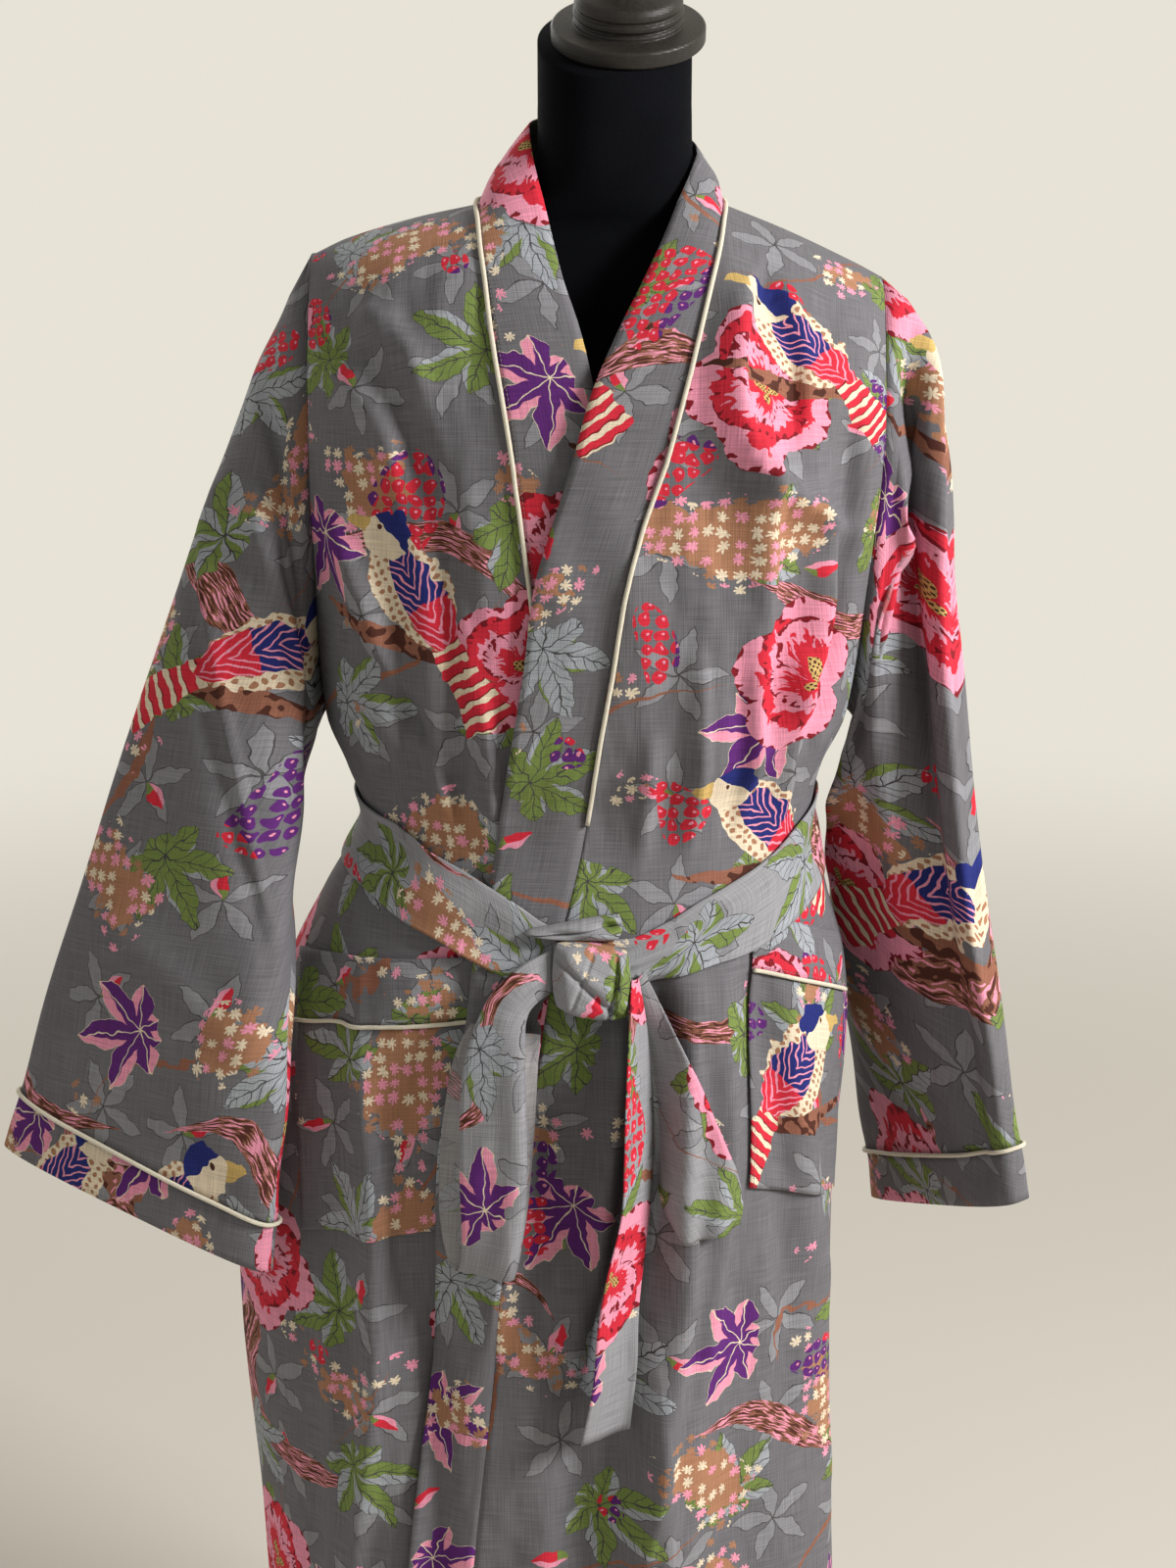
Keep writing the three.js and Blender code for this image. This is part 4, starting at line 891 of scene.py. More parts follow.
def strip_uv(grid, turn, shift, wrap=False):
    """Cut coordinates from the lengths along rows and columns."""
    u = row_lengths(grid, wrap)
    u = u - u[:, -1:] / 2
    down = np.linalg.norm(np.diff(grid, axis=0), axis=-1).mean(axis=1)
    v = running(down)[:, None] + 0 * u
    return placed_uv(u, v, turn, shift)


def stitches(name, points, normals):
    """A row of sewn stitches along a line on the cloth, as one piece."""
    points, normals = np.asarray(points, float), unit(np.asarray(normals, float))
    at = running(np.linalg.norm(np.diff(points, axis=0), axis=-1))
    starts = np.arange(STITCH["pitch"] / 2, at[-1] - STITCH["pitch"], STITCH["pitch"])
    shares, widths = (0.0, 0.25, 0.75, 1.0), (0.25, 1.0, 1.0, 0.25)

    def line(values, share):
        places = starts + STITCH["length"] * share
        return np.stack([np.interp(places, at, values[:, a]) for a in range(3)], -1)

    normal = unit(line(normals, 0.5))
    along = unit(line(points, 1) - line(points, 0))
    side = np.cross(along, normal)
    angles = np.arange(6) / 6 * 2 * math.pi
    rings = []
    for share, width in zip(shares, widths):
        ring = side[:, None] * np.cos(angles)[:, None] + normal[:, None] * (np.sin(angles)[:, None] + 0.2)
        rings.append(line(points, share)[:, None] + ring * STITCH["radius"] * width)
    verts = np.stack(rings, 1).reshape(-1, 3)
    faces = []
    for base in range(0, len(verts), 24):
        for i in range(3):
            for k in range(6):
                a, b = base + 6 * i + k, base + 6 * i + (k + 1) % 6
                faces.append([a, b, b + 6, a + 6])
        faces.append([base + k for k in range(5, -1, -1)])
        faces.append([base + 18 + k for k in range(6)])
    piece = turned_out(mesh_object(name, verts, faces, [thread]))
    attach(piece, "root")
    return piece


def sleeve_uv(rings, turn, shift):
    """The sleeve's front and back laid flat, hinged at the outer fold, as seen from the front."""
    half = len(rings[0]) // 2
    plane = rings[:, :, [0, 2]]
    fold = plane[:, half]
    along = unit(fold[-1] - fold[0])
    towards = unit(plane[:, half] - plane[:, 0])
    arc = row_lengths(rings, True)
    down = arc[:, half:half + 1] - arc
    front = fold[:, None] - towards[:, None] * down[..., None]
    mirrored = towards - 2 * (towards - (towards @ along)[:, None] * along)
    back = fold[:, None] + mirrored[:, None] * down[..., None]
    flat = np.where((np.arange(arc.shape[1]) <= half)[None, :, None], front, back)
    return placed_uv(flat[..., 0], flat[..., 1], turn, shift)


def body_uv(grid, arcs, turn, shift, middle):
    heights = row_heights(grid, middle)
    return placed_uv(arcs, heights[:, None] + 0 * arcs, turn, shift)


def make_front(side, top):
    name = "left" if top else "right"
    outer, arcs = front_skin(side, top)
    inner = outer + grid_normals(outer) * side * SHEET
    inner[:ARMPIT_ROW + 1, 0, 1] = outer[:ARMPIT_ROW + 1, 0, 1]
    inner[ARMPIT_ROW + 1:, 0, 0] = outer[ARMPIT_ROW + 1:, 0, 0]
    inner[-1, :PANEL_COLUMNS + 1, 1] = outer[-1, :PANEL_COLUMNS + 1, 1]
    last = PANEL_COLUMNS
    panel = trimmed(outer[:, :last + 1], last, last - 1, SEAM / 2)
    panel_inner = trimmed(inner[:, :last + 1], last, last - 1, SEAM / 2)
    uv = body_uv(panel, arcs, *PRINT_PLACES["front_" + name], middle=last)
    cloth("front_" + name, panel, uv, PRINTED, panel_inner)
    band = trimmed(outer[:, last:], 0, 1, SEAM / 2)
    band = np.concatenate([band, nape_rows(side)])
    band[len(outer) - 1, 0, 2] += NAPE_LIFT / 2
    band_inner = band + grid_normals(band) * side * SHEET
    band_inner[:len(outer) - 1] = trimmed(inner[:, last:], 0, 1, SEAM / 2)[:-1]
    band_inner[-1, :, 0] = side * SEAM / 2
    uv = strip_uv(band, *PRINT_PLACES["neck_band_" + name])
    cloth("neck_band_" + name, band, uv, PRINTED, band_inner)
    make_band_piping(name, side, outer, band)
    return outer, inner


def make_band_piping(name, side, outer, band):
    normals, nape_normals = grid_normals(outer), grid_normals(band)
    column = PANEL_COLUMNS
    end_z = PIPING_END_Z if side > 0 else PIPING_UNDER_END_Z
    rows = [i for i in range(len(outer) - 1) if outer[i, column, 2] >= end_z]
    points = [outer[i, column] for i in rows]
    outward = [-side * normals[i, column] for i in rows]
    for i in range(len(outer) - 1, len(band)):
        points.append(band[i, 0].copy())
        normal = -side * nape_normals[i, 0]
        outward.append(unit(np.array([normal[0], normal[1], max(normal[2], 0.5)])))
        rows.append(i)
    points[-1][0] = side * SEAM
    piping = cord("cord_band_" + name, points, outward, PIPING_RADIUS, cream)
    keep(piping, "piping_band_" + name)
    sewn = band[rows, 1] * 0.6 + band[rows, 0] * 0.4
    stitches("stitches_band_" + name, sewn, -side * nape_normals[rows, 1])


def make_back():
    outer, arcs = back_skin()
    inner = outer + grid_normals(outer) * SHEET
    for column in (0, -1):
        inner[:ARMPIT_ROW + 1, column, 1] = outer[:ARMPIT_ROW + 1, column, 1]
        inner[ARMPIT_ROW + 1:, column, 0] = outer[ARMPIT_ROW + 1:, column, 0]
    for columns in (slice(0, BACK_SIDE_COLUMNS + 1), slice(-BACK_SIDE_COLUMNS - 1, None)):
        inner[-1, columns, 1] = outer[-1, columns, 1]
    uv = body_uv(outer, arcs, *PRINT_PLACES["robe_back"], middle=BACK_SIDE_COLUMNS)
    cloth("robe_back", outer, uv, PRINTED, inner)
    return outer, inner


def make_sleeve(side, name, rows, front, back):
    rings, steps = sleeve_rings(side, rows, front[0], back[0])
    normals = grid_normals(rings, True)
    rings = rings - normals * side * sleeve_creases(side, rings)[:, :, None]
    normals = grid_normals(rings, True)
    inner = rings + normals * side * SHEET
    inner[0] = sleeve_rings(side, rows, front[1], back[1])[0][0]
    cuff = len(rings) - 1 - steps

    def cut(grid, towards):
        near = cuff + towards
        move = unit(grid[near] - grid[cuff]) * SEAM / 2
        edge = (grid[cuff] + move)[None]
        if towards < 0:
            return np.concatenate([grid[:cuff], edge])
        return np.concatenate([edge, grid[cuff + 1:]])

    tube, tube_inner = cut(rings, -1), cut(inner, -1)
    uv = sleeve_uv(tube, *PRINT_PLACES["sleeve_" + name])
    cloth("sleeve_" + name, tube, uv, PRINTED, tube_inner, wrap=True)
    end, end_inner = cut(rings, 1), cut(inner, 1)
    uv = sleeve_uv(end, *PRINT_PLACES["cuff_" + name])
    cloth("cuff_" + name, end, uv, PRINTED, end_inner, wrap=True)
    outward = -side * normals[cuff]
    piping = cord("cord_cuff_" + name, rings[cuff], outward, PIPING_RADIUS, cream, closed=True)
    keep(piping, "piping_cuff_" + name)
    ring = rings[cuff] * 0.7 + rings[cuff + 1] * 0.3
    all_round = np.arange(len(ring) + 1) % len(ring)
    stitches("stitches_cuff_" + name, ring[all_round], outward[all_round])


def make_pocket(side, name, size, on_top):
    height = size["topIn"] - size["lowIn"]
    split = size["band"] / height
    outside = POCKET_CLEAR + POCKET_WALL
    columns = 36

    def grid(begin, end, rows, lift):
        across = np.linspace(0, 1, columns + 1)[None, :]
        drop = np.linspace(begin, end, rows + 1)[:, None]
        x = side * mix(size["inX"], size["outX"], across)
        z_top = mix(size["topIn"], size["topOut"], across)
        z = mix(z_top, mix(size["lowIn"], size["lowOut"], across), drop)
        s = section(-1, z)
        limit = (s["left"] if side < 0 else s["right"]) * POCKET_REACH
        start = angle_at(s, side * size["inX"])
        end_angle = angle_at(s, side * np.minimum(size["outX"], limit))
        layer = layer_at(x, z) if on_top else 0
        return body_points(s, mix(start, end_angle, across), z, 0, layer + lift)

    for node, begin, end, rows in (("pocket_" + name, split + SEAM / height, 1, 40),
                                   ("pocket_band_" + name, 0, split, 12)):
        face = grid(begin, end, rows, outside)
        inner = grid(begin, end, rows, POCKET_CLEAR)
        uv = strip_uv(face, *PRINT_PLACES[node])
        cloth(node, face, uv, PRINTED, inner)
    seam = grid(split, split + 0.001, 1, outside)[0]
    out = grid(split, split + 0.001, 1, outside + 2)[0] - seam
    piping = cord("cord_pocket_" + name, seam, out, PIPING_RADIUS - 0.1, cream)
    keep(piping, "piping_pocket_" + name)
    above = grid(split - MOUTH_STITCHES / height, split, 1, outside)[0]
    stitches("stitches_mouth_" + name, above, out)
    body = grid(split + 2 / height, 1, 40, outside)
    low = mix(body[-1, 1:-1], body[-2, 1:-1], 0.6)
    edge = np.concatenate([body[:, 1], low, body[::-1, -2]])
    normals = np.tile(unit(out.mean(axis=0)), (len(edge), 1))
    stitches("stitches_pocket_" + name, edge, normals)


def belt_points(angles, level, lift):
    layers = []
    for face in (-1, 1):
        s = section(face, level)
        turn = angles if face < 0 else 2 * math.pi - angles
        turn = np.clip(turn, 0, math.pi)
        x = section_points(s, turn)[0]
        over = 0 * x
        if face < 0:
            over = layer_at(x, level) * smoothstep(-165, -98, x)
            over = over + BELT_OVER_POCKET * smoothstep(945, 922, level) * smoothstep(80, 104, x)
        layers.append(body_points(s, turn, level, 0, over + lift))
    front = (angles <= math.pi)[..., None]
    return np.where(front, layers[0], layers[1])


def make_belt():
    angles = np.linspace(0, 360, BELT_COLUMNS, endpoint=False)
    low, top = sample(BELT, "angle", "low", angles), sample(BELT, "angle", "top", angles)

    def grid(lift):
        up = np.linspace(0, 1, BELT_ROWS + 1)[:, None]
        turn = angles[None, :]
        level = mix(low[None, :], top[None, :], up)
        near = groove(turn - KNOT_TURN, 13)
        ripple = near * 1.9 * np.cos(15 * (up - 0.5) + 0.10 * (turn - KNOT_TURN))
        slack = 1.5 * np.sin(5.5 * up + 0.04 * turn + 1.5 * np.sin(turn * 0.05)) * (1 - near)
        within = np.sin(math.pi * up) ** 0.5
        return belt_points(np.radians(turn) + 0 * level, level, lift + (ripple + slack) * within)

    outer, inner = grid(BELT_CLEAR + BELT_WALL), grid(BELT_CLEAR)
    uv = strip_uv(outer, *PRINT_PLACES["belt_waist"], wrap=True)
    cloth("belt_waist", outer, uv, BELTED, inner, wrap=True)


def layer_y(x, z):
    """How far forward the upper front lies, without its folds and creases."""
    s = section(-1, z)
    return section_points(s, angle_at(s, x))[1] - layer_depth(z)


def front_y(x, z):
    """How far forward it lies with its folds and the ridges of its creases, but not their troughs."""
    crease = crease_at(-1, x, z)
    ridges = (crease + np.sqrt(crease ** 2 + 9)) / 2
    return layer_y(x, z) - fold_at(-1, x, z) - ridges


def knot_folds(u, v):
    """The knot's wrap: a doubled left edge, a fold down its right side and one across it."""
    return (2.4 * np.tanh(9 * (u + 0.74)) - 5.0 * groove(u - 0.58 - 0.12 * v, 0.07)
            - 3.4 * groove(0.55 * u + 0.6 * v + 0.12, 0.07) + 1.6 * groove(0.5 * u + 0.6 * v - 0.12, 0.16)
            - 1.6 * groove(u + 0.25 - 0.35 * v, 0.06))


def ear_folds(u, v):
    """The flat loop over the knot: a long fold line and an open mouth at its right end."""
    mouth = groove(v - 0.25, 0.35) * groove(u - 0.72, 0.2)
    return -2.8 * groove(v + 0.12 - 0.3 * u, 0.13) - 5.5 * mouth + 1.2 * np.sin(5 * u + 3 * v)


def make_lump(node, size, crease, rows, columns):
    v = np.linspace(-1, 1, rows + 1)[:, None]
    u = np.linspace(-1, 1, columns + 1)[None, :]
    x = mix(size["x1"], size["x2"], (u * (1 - 0.1 * v * v) + 1) / 2)
    taper = (1 - 0.16 * u * u) * (1 - size["point"] * (1 - u) / 2)
    z = mix(size["z1"], size["z2"], (v * taper + 1) / 2) + size["tilt"] * u
    back = layer_y(x, z) - BELT_CLEAR - BELT_WALL - SEAM - 0.5
    away = (1 - np.abs(u) ** size["round"]) * (1 - np.abs(v) ** size["round"])
    rounded = np.clip(away, 0, 1) ** (1 / size["round"])
    out = size["edge"] + (size["depth"] - size["edge"]) * rounded + crease(u, v) * rounded
    outer, inner = np.stack([x, back - out, z], -1), np.stack([x, back, z], -1)
    uv = strip_uv(outer, *PRINT_PLACES[node])
    keep(shell("cloth_" + node, outer, inner, COTTONS[BELTED], uv), node)


def make_strip(node, rows, columns, curl, steps=7):
    stations = stations_of(rows, steps)[:, None]
    t = np.linspace(0, 1, columns + 1)[None, :]
    value = {name: sample(rows, "i", name, stations) for name in STRIP_COLUMNS.split()}
    x, z = mix(value["x1"], value["x2"], t), mix(value["z1"], value["z2"], t)
    out = mix(value["out1"], value["out2"], t) + curl * np.sin(math.pi * t)
    middle = np.stack([x, front_y(x, z) - out, z], -1)
    normals = grid_normals(middle)
    outer, inner = middle - normals * STRIP_WALL / 2, middle + normals * STRIP_WALL / 2
    uv = strip_uv(middle, *PRINT_PLACES[node])
    cloth(node, outer, uv, BELTED, inner)


def cap_plane_z(y, below):
    lean = math.radians(CAP_TILT)
    return CAP_CENTRE[2] - (-math.sin(lean) * (y - CAP_CENTRE[1]) + below) / math.cos(lean)


def make_form():
    levels = np.concatenate([np.linspace(722, 730, 5), np.linspace(735, 1360, 90)[:-1],
                             np.linspace(1360, 1490, 60)])
    angles = np.linspace(0, 2 * math.pi, 72, endpoint=False)
    c, s = np.cos(angles), np.sin(angles)
    rings = []
    for z in levels:
        value = {name: float(sample(FORM, "z", name, z)) for name in "left right front back round".split()}
        width = np.where(c < 0, value["left"], value["right"])
        depth = np.where(s < 0, value["front"], value["back"])
        x, y = width * round_power(c, value["round"]), depth * round_power(s, value["round"])
        rings.append(np.stack([x, y, np.full_like(x, z)], -1))
    neck = rings[-1]
    for share in np.linspace(0, 1, 9)[1:]:
        high = np.array([cap_plane_z(y, SEAM) for y in neck[:, 1]])
        rings.append(np.stack([neck[:, 0], neck[:, 1], mix(neck[:, 2], high, share)], -1))
    piece = lofted("velvet_torso", rings, velvet)
    keep(piece, "form_torso")


def turned(name, profile, centre, lean, sides=64):
    """A turned body: a smooth profile of radius and height about an axis that leans forward."""
    axis = np.array([0, -math.sin(lean), math.cos(lean)])
    side = np.array([1.0, 0, 0])
    front = np.cross(axis, side)
    angles = np.linspace(0, 2 * math.pi, sides, endpoint=False)
    rings = []
    for radius, height in profile:
        rim = np.cos(angles)[:, None] * side + np.sin(angles)[:, None] * front
        rings.append(np.array(centre) + axis * height + rim * max(radius, 0.05))
    return lofted(name, rings, wood)


def smooth_profile(corners, per=6, crisp=1000):
    """Rounds a turned profile's corners, and those at the crisp radius or outside it very little."""
    corners = np.array(corners, float)
    result = [corners[0]]
    for k in range(1, len(corners) - 1):
        before, here, after = corners[k - 1], corners[k], corners[k + 1]
        reach = min(np.linalg.norm(here - before), np.linalg.norm(after - here)) * 0.45
        if here[0] >= crisp:
            reach = min(reach, 0.9)
        start = here + unit(before - here) * reach
        end = here + unit(after - here) * reach
        for t in np.linspace(0, 1, per):
            result.append((1 - t) ** 2 * start + 2 * t * (1 - t) * here + t * t * end)
    result.append(corners[-1])
    return result


def make_stand():
    cap = [(0, 0), (CAP_RADIUS - 1.5, 0), (CAP_RADIUS, 1.5), (CAP_RADIUS, 11), (CAP_RADIUS - 1.5, 12.5),
           (39, 13.5), (39, 16.5), (37.2, 17.5), (37.2, 19), (39.2, 20), (39.2, 23.5), (37.4, 24.5),
           (37.4, 26), (38.6, 27.5), (38.2, 31), (36, 34.5), (27, 38), (21.5, 43), (20, 51), (24, 60),
           (27, 70), (25, 80), (17, 90), (7, 96), (0, 96.5)]
    turned_cap = turned("turned_cap", smooth_profile(cap, crisp=36.5), CAP_CENTRE, math.radians(CAP_TILT), 96)
    keep(turned_cap, "neck_cap")
    base = [(0, 0), (BASE_RADIUS - 4, 0), (BASE_RADIUS, 4), (BASE_RADIUS, 13), (BASE_RADIUS - 10, 19),
            (110, BASE_HEIGHT), (48, 30), (34, 36), (30, 52), (22, COLLAR_TOP_Z), (0, COLLAR_TOP_Z)]
    keep(turned("turned_base", smooth_profile(base, crisp=100), (0, 0, 0), 0, 96), "stand_base")
    bottom, top = COLLAR_TOP_Z + SEAM, TORSO_Z - SEAM
    pole = [(0, bottom), (POLE_RADIUS, bottom), (POLE_RADIUS, top), (0, top)]
    keep(turned("turned_pole", smooth_profile(pole, 3), (0, 0, 0), 0), "stand_pole")


# The print's own turn in degrees and shift in millimetres on each cut
PRINT_PLACES = {
    "front_left": (0, (130, 90)),
    "front_right": (0, (-420, 310)),
    "robe_back": (0, (1180, 640)),
    "sleeve_left": (0, (760, -330)),
    "sleeve_right": (8, (-910, 1450)),
    "cuff_left": (0, (250, 1700)),
    "cuff_right": (8, (1500, -800)),
    "neck_band_left": (0, (2050, 140)),
    "neck_band_right": (0, (-1720, 930)),
    "pocket_left": (180, (610, 2120)),
    "pocket_right": (180, (-1320, -460)),
    "pocket_band_left": (180, (1930, 1310)),
    "pocket_band_right": (180, (-640, -1290)),
    "belt_waist": (90, (870, 2630)),
    "belt_knot": (20, (-2210, 330)),
    "belt_fold": (90, (1340, -1760)),
    "belt_loop": (0, (-1830, 2480)),
    "belt_tail_long": (0, (2710, -910)),
    "belt_tail_short": (180, (-2640, -1870)),
}


# Materials: sums written in Python become shader nodes

class Sum:
    """A number or a vector in a material's node tree."""

    def __init__(self, tree, socket):
        self.tree = tree
        self.socket = socket

    def __add__(self, other):
        return calc("ADD", self, other)

    def __sub__(self, other):
        return calc("SUBTRACT", self, other)

    def __rsub__(self, other):
        return calc("SUBTRACT", other, self)

    def __mul__(self, other):
        return calc("MULTIPLY", self, other)

    def __truediv__(self, other):
        return calc("DIVIDE", self, other)

    def __lt__(self, other):
        return calc("LESS_THAN", self, other)

    def __gt__(self, other):
        return calc("GREATER_THAN", self, other)

    def __abs__(self):
        return calc("ABSOLUTE", self)


def fill(tree, socket, value):
    if isinstance(value, Sum):
        tree.links.new(value.socket, socket)
    else:
        socket.default_value = value


def add_node(kind, operation, values):
    tree = next(value.tree for value in values if isinstance(value, Sum))
    node = tree.nodes.new(kind)
    node.operation = operation
    for socket, value in zip(node.inputs, values):
        fill(tree, socket, value)
    return tree, node


def calc(operation, *values):
    tree, node = add_node("ShaderNodeMath", operation, values)
    return Sum(tree, node.outputs[0])


def vector(operation, *values):
    tree, node = add_node("ShaderNodeVectorMath", operation, values)
    single = operation in ("LENGTH", "DISTANCE", "DOT_PRODUCT")
    return Sum(tree, node.outputs["Value" if single else "Vector"])


def scaled(a, factor, plus):
    return calc("MULTIPLY_ADD", a, factor, plus)


def split(value):
    node = value.tree.nodes.new("ShaderNodeSeparateXYZ")
    value.tree.links.new(value.socket, node.inputs[0])
    return [Sum(value.tree, node.outputs[k]) for k in range(3)]


def joined(x, y):
    node = x.tree.nodes.new("ShaderNodeCombineXYZ")
    fill(x.tree, node.inputs[0], x)
    fill(x.tree, node.inputs[1], y)
    return Sum(x.tree, node.outputs[0])


def rotated(place, angle, back=False):
    node = place.tree.nodes.new("ShaderNodeVectorRotate")
    node.rotation_type = "Z_AXIS"
    node.invert = back
    fill(place.tree, node.inputs["Vector"], place)
    fill(place.tree, node.inputs["Angle"], angle)
    return Sum(place.tree, node.outputs[0])


def noise(place, scale, detail=0.0, colour=False, roughness=0.5, flat=False):
    """Soft noise in space or over flat cloth; scale is one over the size of its blots in millimetres."""
    node = place.tree.nodes.new("ShaderNodeTexNoise")
    node.noise_dimensions = "2D" if flat else "3D"
    fill(place.tree, node.inputs["Vector"], place)
    node.inputs["Scale"].default_value = scale
    node.inputs["Detail"].default_value = detail
    node.inputs["Roughness"].default_value = roughness
    return Sum(place.tree, node.outputs["Color" if colour else "Fac"])


def dice(place, seed):
    """Three random numbers for each whole-numbered place."""
    node = place.tree.nodes.new("ShaderNodeTexWhiteNoise")
    node.noise_dimensions = "4D"
    fill(place.tree, node.inputs["Vector"], place)
    node.inputs["W"].default_value = seed
    return Sum(place.tree, node.outputs["Color"])


def painted(under, colour, mask):
    """Covers what is under with a colour as far as the mask says, 0 to 1."""
    tree = next(value.tree for value in (under, colour, mask) if isinstance(value, Sum))
    node = tree.nodes.new("ShaderNodeMix")
    node.data_type = "RGBA"
    fill(tree, node.inputs[0], mask)
    for k, value in ((6, under), (7, colour)):
        fill(tree, node.inputs[k], value if isinstance(value, Sum) else (*value, 1))
    return Sum(tree, node.outputs[2])


def ramp(value, *steps):
    """A colour for each stretch of a value from 0 to 1; a step is where it starts and its colour."""
    node = value.tree.nodes.new("ShaderNodeValToRGB")
    band = node.color_ramp
    band.interpolation = "CONSTANT"
    band.elements.remove(band.elements[1])
    band.elements[0].position = steps[0][0]
    band.elements[0].color = (*steps[0][1], 1)
    for start, colour in steps[1:]:
        band.elements.new(start).color = (*colour, 1)
    value.tree.links.new(value.socket, node.inputs[0])
    return Sum(value.tree, node.outputs[0])


COTTON_ROUGHNESS = 0.82
COTTON_SPECULAR = 0.25
WEAVE_DEPTH = 0.00015    # depths in metres
PILE_DEPTH = 0.0003
GRAIN_DEPTH = 0.00012

# Spacing of the print's motifs and the radius of its flowers, in millimetres
FAINT_LEAF_SPACING = 86
LEAF_SPACING = 122
STAR_SPACING = 10.5
PEONY_SPACING = 245
PEONY_RADIUS = 58
BIRD_SPACING = 380

# How much of the cloth has stars, berries and tan drifts: less of it where the number is nearer 1
STARS_FROM = 0.715
BERRIES_FROM = 0.775
DRIFTS_FROM = 0.835

# Colours of the print
GROUND = (0.152, 0.147, 0.162)
GROUND_PALE = (0.300, 0.285, 0.290)
BELT_GROUND = (0.290, 0.290, 0.310)
PALE_LEAF = (0.335, 0.355, 0.390)
FAINT_LEAF = (0.245, 0.245, 0.265)
GREEN = (0.170, 0.235, 0.060)
LEAF_LINE = (0.060, 0.055, 0.058)
DARK_BROWN = (0.075, 0.022, 0.014)
BROWN = (0.270, 0.110, 0.070)
PINK = (0.800, 0.300, 0.420)
RED = (0.620, 0.022, 0.045)
DARK_RED = (0.210, 0.008, 0.016)
CREAM = (0.760, 0.640, 0.480)
TAN = (0.380, 0.185, 0.105)
OCHRE = (0.560, 0.380, 0.130)
PURPLE = (0.105, 0.018, 0.165)
BLUE = (0.014, 0.022, 0.160)


WHOLE_TURN = 6.28        # a whole turn, for motifs that lie any way round


def lattice(place, size, seed, jitter=0.3, turn=None):
    """Square cells with one motif each: the place in the motif, shifted and turned, and random numbers."""
    shift = (seed * 0.371, seed * 0.617, 0.5)
    cells = vector("MULTIPLY_ADD", place, (1 / size, 1 / size, 0), shift)
    chance = dice(vector("FLOOR", cells), seed)
    middle = size * (jitter - 1) / 2
    inside = vector("MULTIPLY_ADD", vector("FRACTION", cells), (size, size, 0), (middle, middle, 0))
    inside = vector("MULTIPLY_ADD", chance, (-jitter * size, -jitter * size, 0), inside)
    a, b, c = split(chance)
    if turn:
        inside = rotated(inside, scaled(c, turn, -turn / 2))
    return inside, a, b, c


def rays(point, count):
    """Leaflets or petals round a point: the direction's angle, and the places along and across it."""
    x, y, _ = split(point)
    step = 2 * math.pi / count
    middle = calc("SNAP", calc("ARCTAN2", y, x) + step / 2, step)
    along, across, _ = split(rotated(point, middle, back=True))
    return middle, along, across


def vesica(along, across, reach, width):
    """How far inside a leaf's outline a point lies, and its share of the leaf's length."""
    share = along / reach
    return (1 - share) * share * width - across, share


def faint_leaves(colour, place):
    """Leaf sprigs hardly paler than the ground, some with a bud on top."""
    point, a, b, _ = lattice(place, FAINT_LEAF_SPACING, 1.0, 0.3, WHOLE_TURN)
    _, along, across = rays(point, 5)
    inside, _ = vesica(along, abs(across), 37.0, 26.0)
    tone = ramp(inside * 0.1, (0, LEAF_LINE), (0.06, FAINT_LEAF))
    colour = painted(colour, tone, (inside > 0) * (a < 0.8))
    x, y, _ = split(point)
    inside, share = vesica(x, abs(y), 27.0, 22.0)
    tone = painted(ramp(share, (0, GREEN), (0.32, RED)), PINK, y > 1.0)
    return painted(colour, tone, (inside > 0) * (b < 0.6))


def branches(colour, place, flow):
    """Brown branches along bent lines, fading out here and there, and thin twigs across them."""
    bend, swell, other = split(flow)
    twig = calc("PINGPONG", scaled(other, 170.0, vector("DOT_PRODUCT", place, (0.78, -0.62, 0))), 95.0)
    colour = painted(colour, BROWN, twig < scaled(swell, 7.0, -2.9))
    line = scaled(bend, 290.0, vector("DOT_PRODUCT", place, (0.56, 0.83, 0)))
    away = calc("PINGPONG", line, 150.0)
    bark = noise(joined(vector("DOT_PRODUCT", place, (0.066, -0.045, 0)), away * 0.4), 1.0, 1.0, flat=True)
    tone = ramp(bark, (0, DARK_BROWN), (0.44, BROWN), (0.58, PINK))
    return painted(colour, tone, away < scaled(swell, -80.0, 47.0))


def leaves(colour, place):
    """Hand-shaped leaves with veins, pale or half green, and some purple lilies in their place."""
    point, a, b, c = lattice(place, LEAF_SPACING, 4.0, 0.22, WHOLE_TURN)
    middle, along, across = rays(point, 7)
    lily = c > 0.84
    wide = abs(across)
    inside, share = vesica(along, wide, scaled(calc("COSINE", middle), 22.0, 38.0), 44.0)
    side_vein = calc("PINGPONG", scaled(wide, -1.2, along), 4.6) + lily
    line = calc("MINIMUM", calc("MINIMUM", inside, wide), side_vein) < 0.42
    leaf = ramp(scaled(b, 0.9, across * 0.05), (0, PALE_LEAF), (0.5, GREEN))
    petal = ramp(scaled(share, 0.6, across * 0.06), (0, PURPLE), (0.5, PINK))
    tone = painted(painted(leaf, petal, lily), painted(LEAF_LINE, CREAM, lily), line)
    return painted(colour, tone, (inside > 0) * (a < 0.9))


